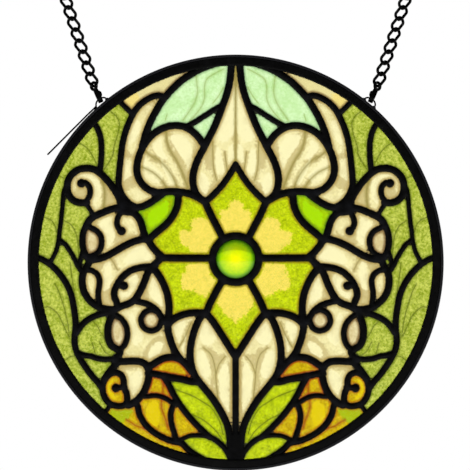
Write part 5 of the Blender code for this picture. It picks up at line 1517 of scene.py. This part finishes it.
def make_top_ring(side, name, finish):
    """A jump ring, its ends butted at the side."""
    up = lean(side, CHAIN_TILT)
    a = math.radians(RING_TURN)
    along = Vector((up.z * math.cos(a), side * math.sin(a), -up.x * math.cos(a)))
    middle = ring_centre(side) + CENTRE
    radius = (RING_DIAMETER - RING_WIRE) / 2 - RING_TUCK
    bm = bmesh.new()
    gap, steps = RING_BUTT / radius, TOP_RING_STEPS
    tube(bm, [middle + radius * (along * math.cos(gap + (math.tau - 2 * gap) * i / steps)
        + up * math.sin(gap + (math.tau - 2 * gap) * i / steps)) for i in range(steps + 1)],
        RING_WIRE / 2)
    ob = from_bmesh(name + "_wire", bm, [finish], 70.0)
    hand_over(ob, name)


def make_stage(sizes, colours):
    """A pale floor below the hanging panel, soft lights, white light behind the glass, and the
    camera where the photograph was taken from."""
    for name in ("studio_floor", "key_light", "fill_light", "camera"):
        if bpy.data.objects.get(name):
            bpy.data.objects.remove(bpy.data.objects[name])
    scene = bpy.context.scene
    bm = bmesh.new()
    bmesh.ops.create_grid(bm, x_segments=4, y_segments=4, size=FLOOR_HALF)
    mesh = bpy.data.meshes.new("studio_floor")
    bm.to_mesh(mesh)
    bm.free()
    mat, tree, shader = new_material("matt_white_studio_paper")
    tree.links.new(mixed(tree, clouds(tree, 60.0, 0.3, 0.7), colours.floor,
        tuple(v * 0.98 for v in colours.floor)), shader.inputs["Base Color"])
    shader.inputs["Roughness"].default_value = 0.8
    mesh.materials.append(mat)
    floor = bpy.data.objects.new("studio_floor", mesh)
    floor.location = (0, 0, -FLOOR_DROP)
    scene.collection.objects.link(floor)

    for name, place_at, size, watts in (("key_light", (-0.9, -1.7, 0.9), sizes.key_width, 0.8),
            ("fill_light", (1.4, -1.5, 0.3), sizes.key_width * 1.2, 0.3)):
        light = bpy.data.lights.new(name, "AREA")
        light.size, light.energy = size, watts
        ob = bpy.data.objects.new(name, light)
        ob.location = place_at
        ob.rotation_euler = (Vector(CENTRE) - Vector(place_at)).to_track_quat(
            "-Z", "Y").to_euler()
        scene.collection.objects.link(ob)

    world = bpy.data.worlds.get("white_backlight") or bpy.data.worlds.new("white_backlight")
    world.use_nodes = True
    tree = world.node_tree
    tree.nodes.clear()
    path = put(tree, "ShaderNodeLightPath").outputs
    around = put(tree, "ShaderNodeMix", i0=path["Is Glossy Ray"], i2=WORLD_AROUND,
        i3=WORLD_MIRRORED).outputs[0]
    seen = put(tree, "ShaderNodeMix", i0=path["Is Camera Ray"], i2=around, i3=1.0).outputs[0]
    strength = put(tree, "ShaderNodeMix", i0=path["Is Transmission Ray"], i2=seen,
        i3=colours.backlight).outputs[0]
    light = put(tree, "ShaderNodeBackground", Color=(1, 1, 1, 1), Strength=strength)
    put(tree, "ShaderNodeOutputWorld", Surface=light.outputs[0])
    world.cycles.sampling_method = "NONE"
    scene.world = world
    scene.view_settings.view_transform = "Standard"

    data = bpy.data.cameras.new("camera")
    data.sensor_width, data.lens = 36.0, CAMERA_LENS
    camera = bpy.data.objects.new("camera", data)
    camera.location = CAMERA_PLACE
    camera.rotation_euler = (math.pi / 2, 0, 0)
    scene.collection.objects.link(camera)
    scene.camera = camera


class SUNCATCHER_OT_stage(bpy.types.Operator):
    """Sets the floor, the lights, the white light behind the glass and the camera"""
    bl_idname = "suncatcher.stage"
    bl_label = "Stage"

    def execute(self, context):
        make_stage(context.scene.suncatcher_sizes, context.scene.suncatcher_colours)
        return {"FINISHED"}


class SUNCATCHER_OT_panes(bpy.types.Operator):
    """Cuts, paints and places every pane of glass"""
    bl_idname = "suncatcher.panes"
    bl_label = "Glass panes"

    def execute(self, context):
        scene = context.scene
        make_panes(scene.suncatcher_sizes, glass_finishes(scene.suncatcher_colours))
        return {"FINISHED"}


class SUNCATCHER_OT_jewel(bpy.types.Operator):
    """Sets the pressed glass jewel in the middle"""
    bl_idname = "suncatcher.jewel"
    bl_label = "Jewel"

    def execute(self, context):
        colours = context.scene.suncatcher_colours
        make_jewel(context.scene.suncatcher_sizes, jewel_glass("pressed_jewel_glass",
            colours.jewel_yellow, colours.jewel_green))
        return {"FINISHED"}


class SUNCATCHER_OT_leading(bpy.types.Operator):
    """Makes the net of soldered lead came"""
    bl_idname = "suncatcher.leading"
    bl_label = "Lead cames"

    def execute(self, context):
        make_leading(context.scene.suncatcher_sizes, lead_finish(context.scene.suncatcher_colours))
        return {"FINISHED"}


class SUNCATCHER_OT_rim(bpy.types.Operator):
    """Makes the rim channel round the panel"""
    bl_idname = "suncatcher.rim"
    bl_label = "Rim"

    def execute(self, context):
        make_rim(context.scene.suncatcher_sizes, rim_finish(context.scene.suncatcher_colours))
        return {"FINISHED"}


class SUNCATCHER_OT_hangers(bpy.types.Operator):
    """Makes the wire loops, clasps, chains and top rings, left and right"""
    bl_idname = "suncatcher.hangers"
    bl_label = "Loops, clasps, chains and rings"

    def execute(self, context):
        finish = wire_finish(context.scene.suncatcher_colours)
        for side, name in ((1, "left"), (-1, "right")):
            make_loop(side, "hanging_loop_" + name, finish)
            make_clasp(side, "clasp_" + name, finish)
            make_chain(side, "chain_" + name, finish)
            make_top_ring(side, "top_ring_" + name, finish)
        return {"FINISHED"}


OPERATORS = (SUNCATCHER_OT_leading, SUNCATCHER_OT_panes, SUNCATCHER_OT_jewel, SUNCATCHER_OT_rim,
    SUNCATCHER_OT_hangers, SUNCATCHER_OT_stage)


class SUNCATCHER_PT_panel(bpy.types.Panel):
    """Lists the steps, the sizes and the colours"""
    bl_label = "Stained glass suncatcher"
    bl_idname = "SUNCATCHER_PT_panel"
    bl_space_type = "VIEW_3D"
    bl_region_type = "UI"
    bl_category = "Suncatcher"

    def draw(self, context):
        for step in OPERATORS:
            self.layout.operator(step.bl_idname)
        for group in (context.scene.suncatcher_sizes, context.scene.suncatcher_colours):
            box = self.layout.box()
            for key in group.__annotations__:
                box.prop(group, key)


CLASSES = (SuncatcherSizes, SuncatcherColours, *OPERATORS, SUNCATCHER_PT_panel)


def register():
    for cls in CLASSES:
        bpy.utils.register_class(cls)
    bpy.types.Scene.suncatcher_sizes = bpy.props.PointerProperty(type=SuncatcherSizes)
    bpy.types.Scene.suncatcher_colours = bpy.props.PointerProperty(type=SuncatcherColours)


def unregister():
    del bpy.types.Scene.suncatcher_colours
    del bpy.types.Scene.suncatcher_sizes
    for cls in reversed(CLASSES):
        bpy.utils.unregister_class(cls)


def main():
    register()
    for step in OPERATORS:
        getattr(bpy.ops.suncatcher, step.bl_idname.split(".")[1])()
    bpy.context.view_layer.update()


if __name__ == "__main__":
    main()
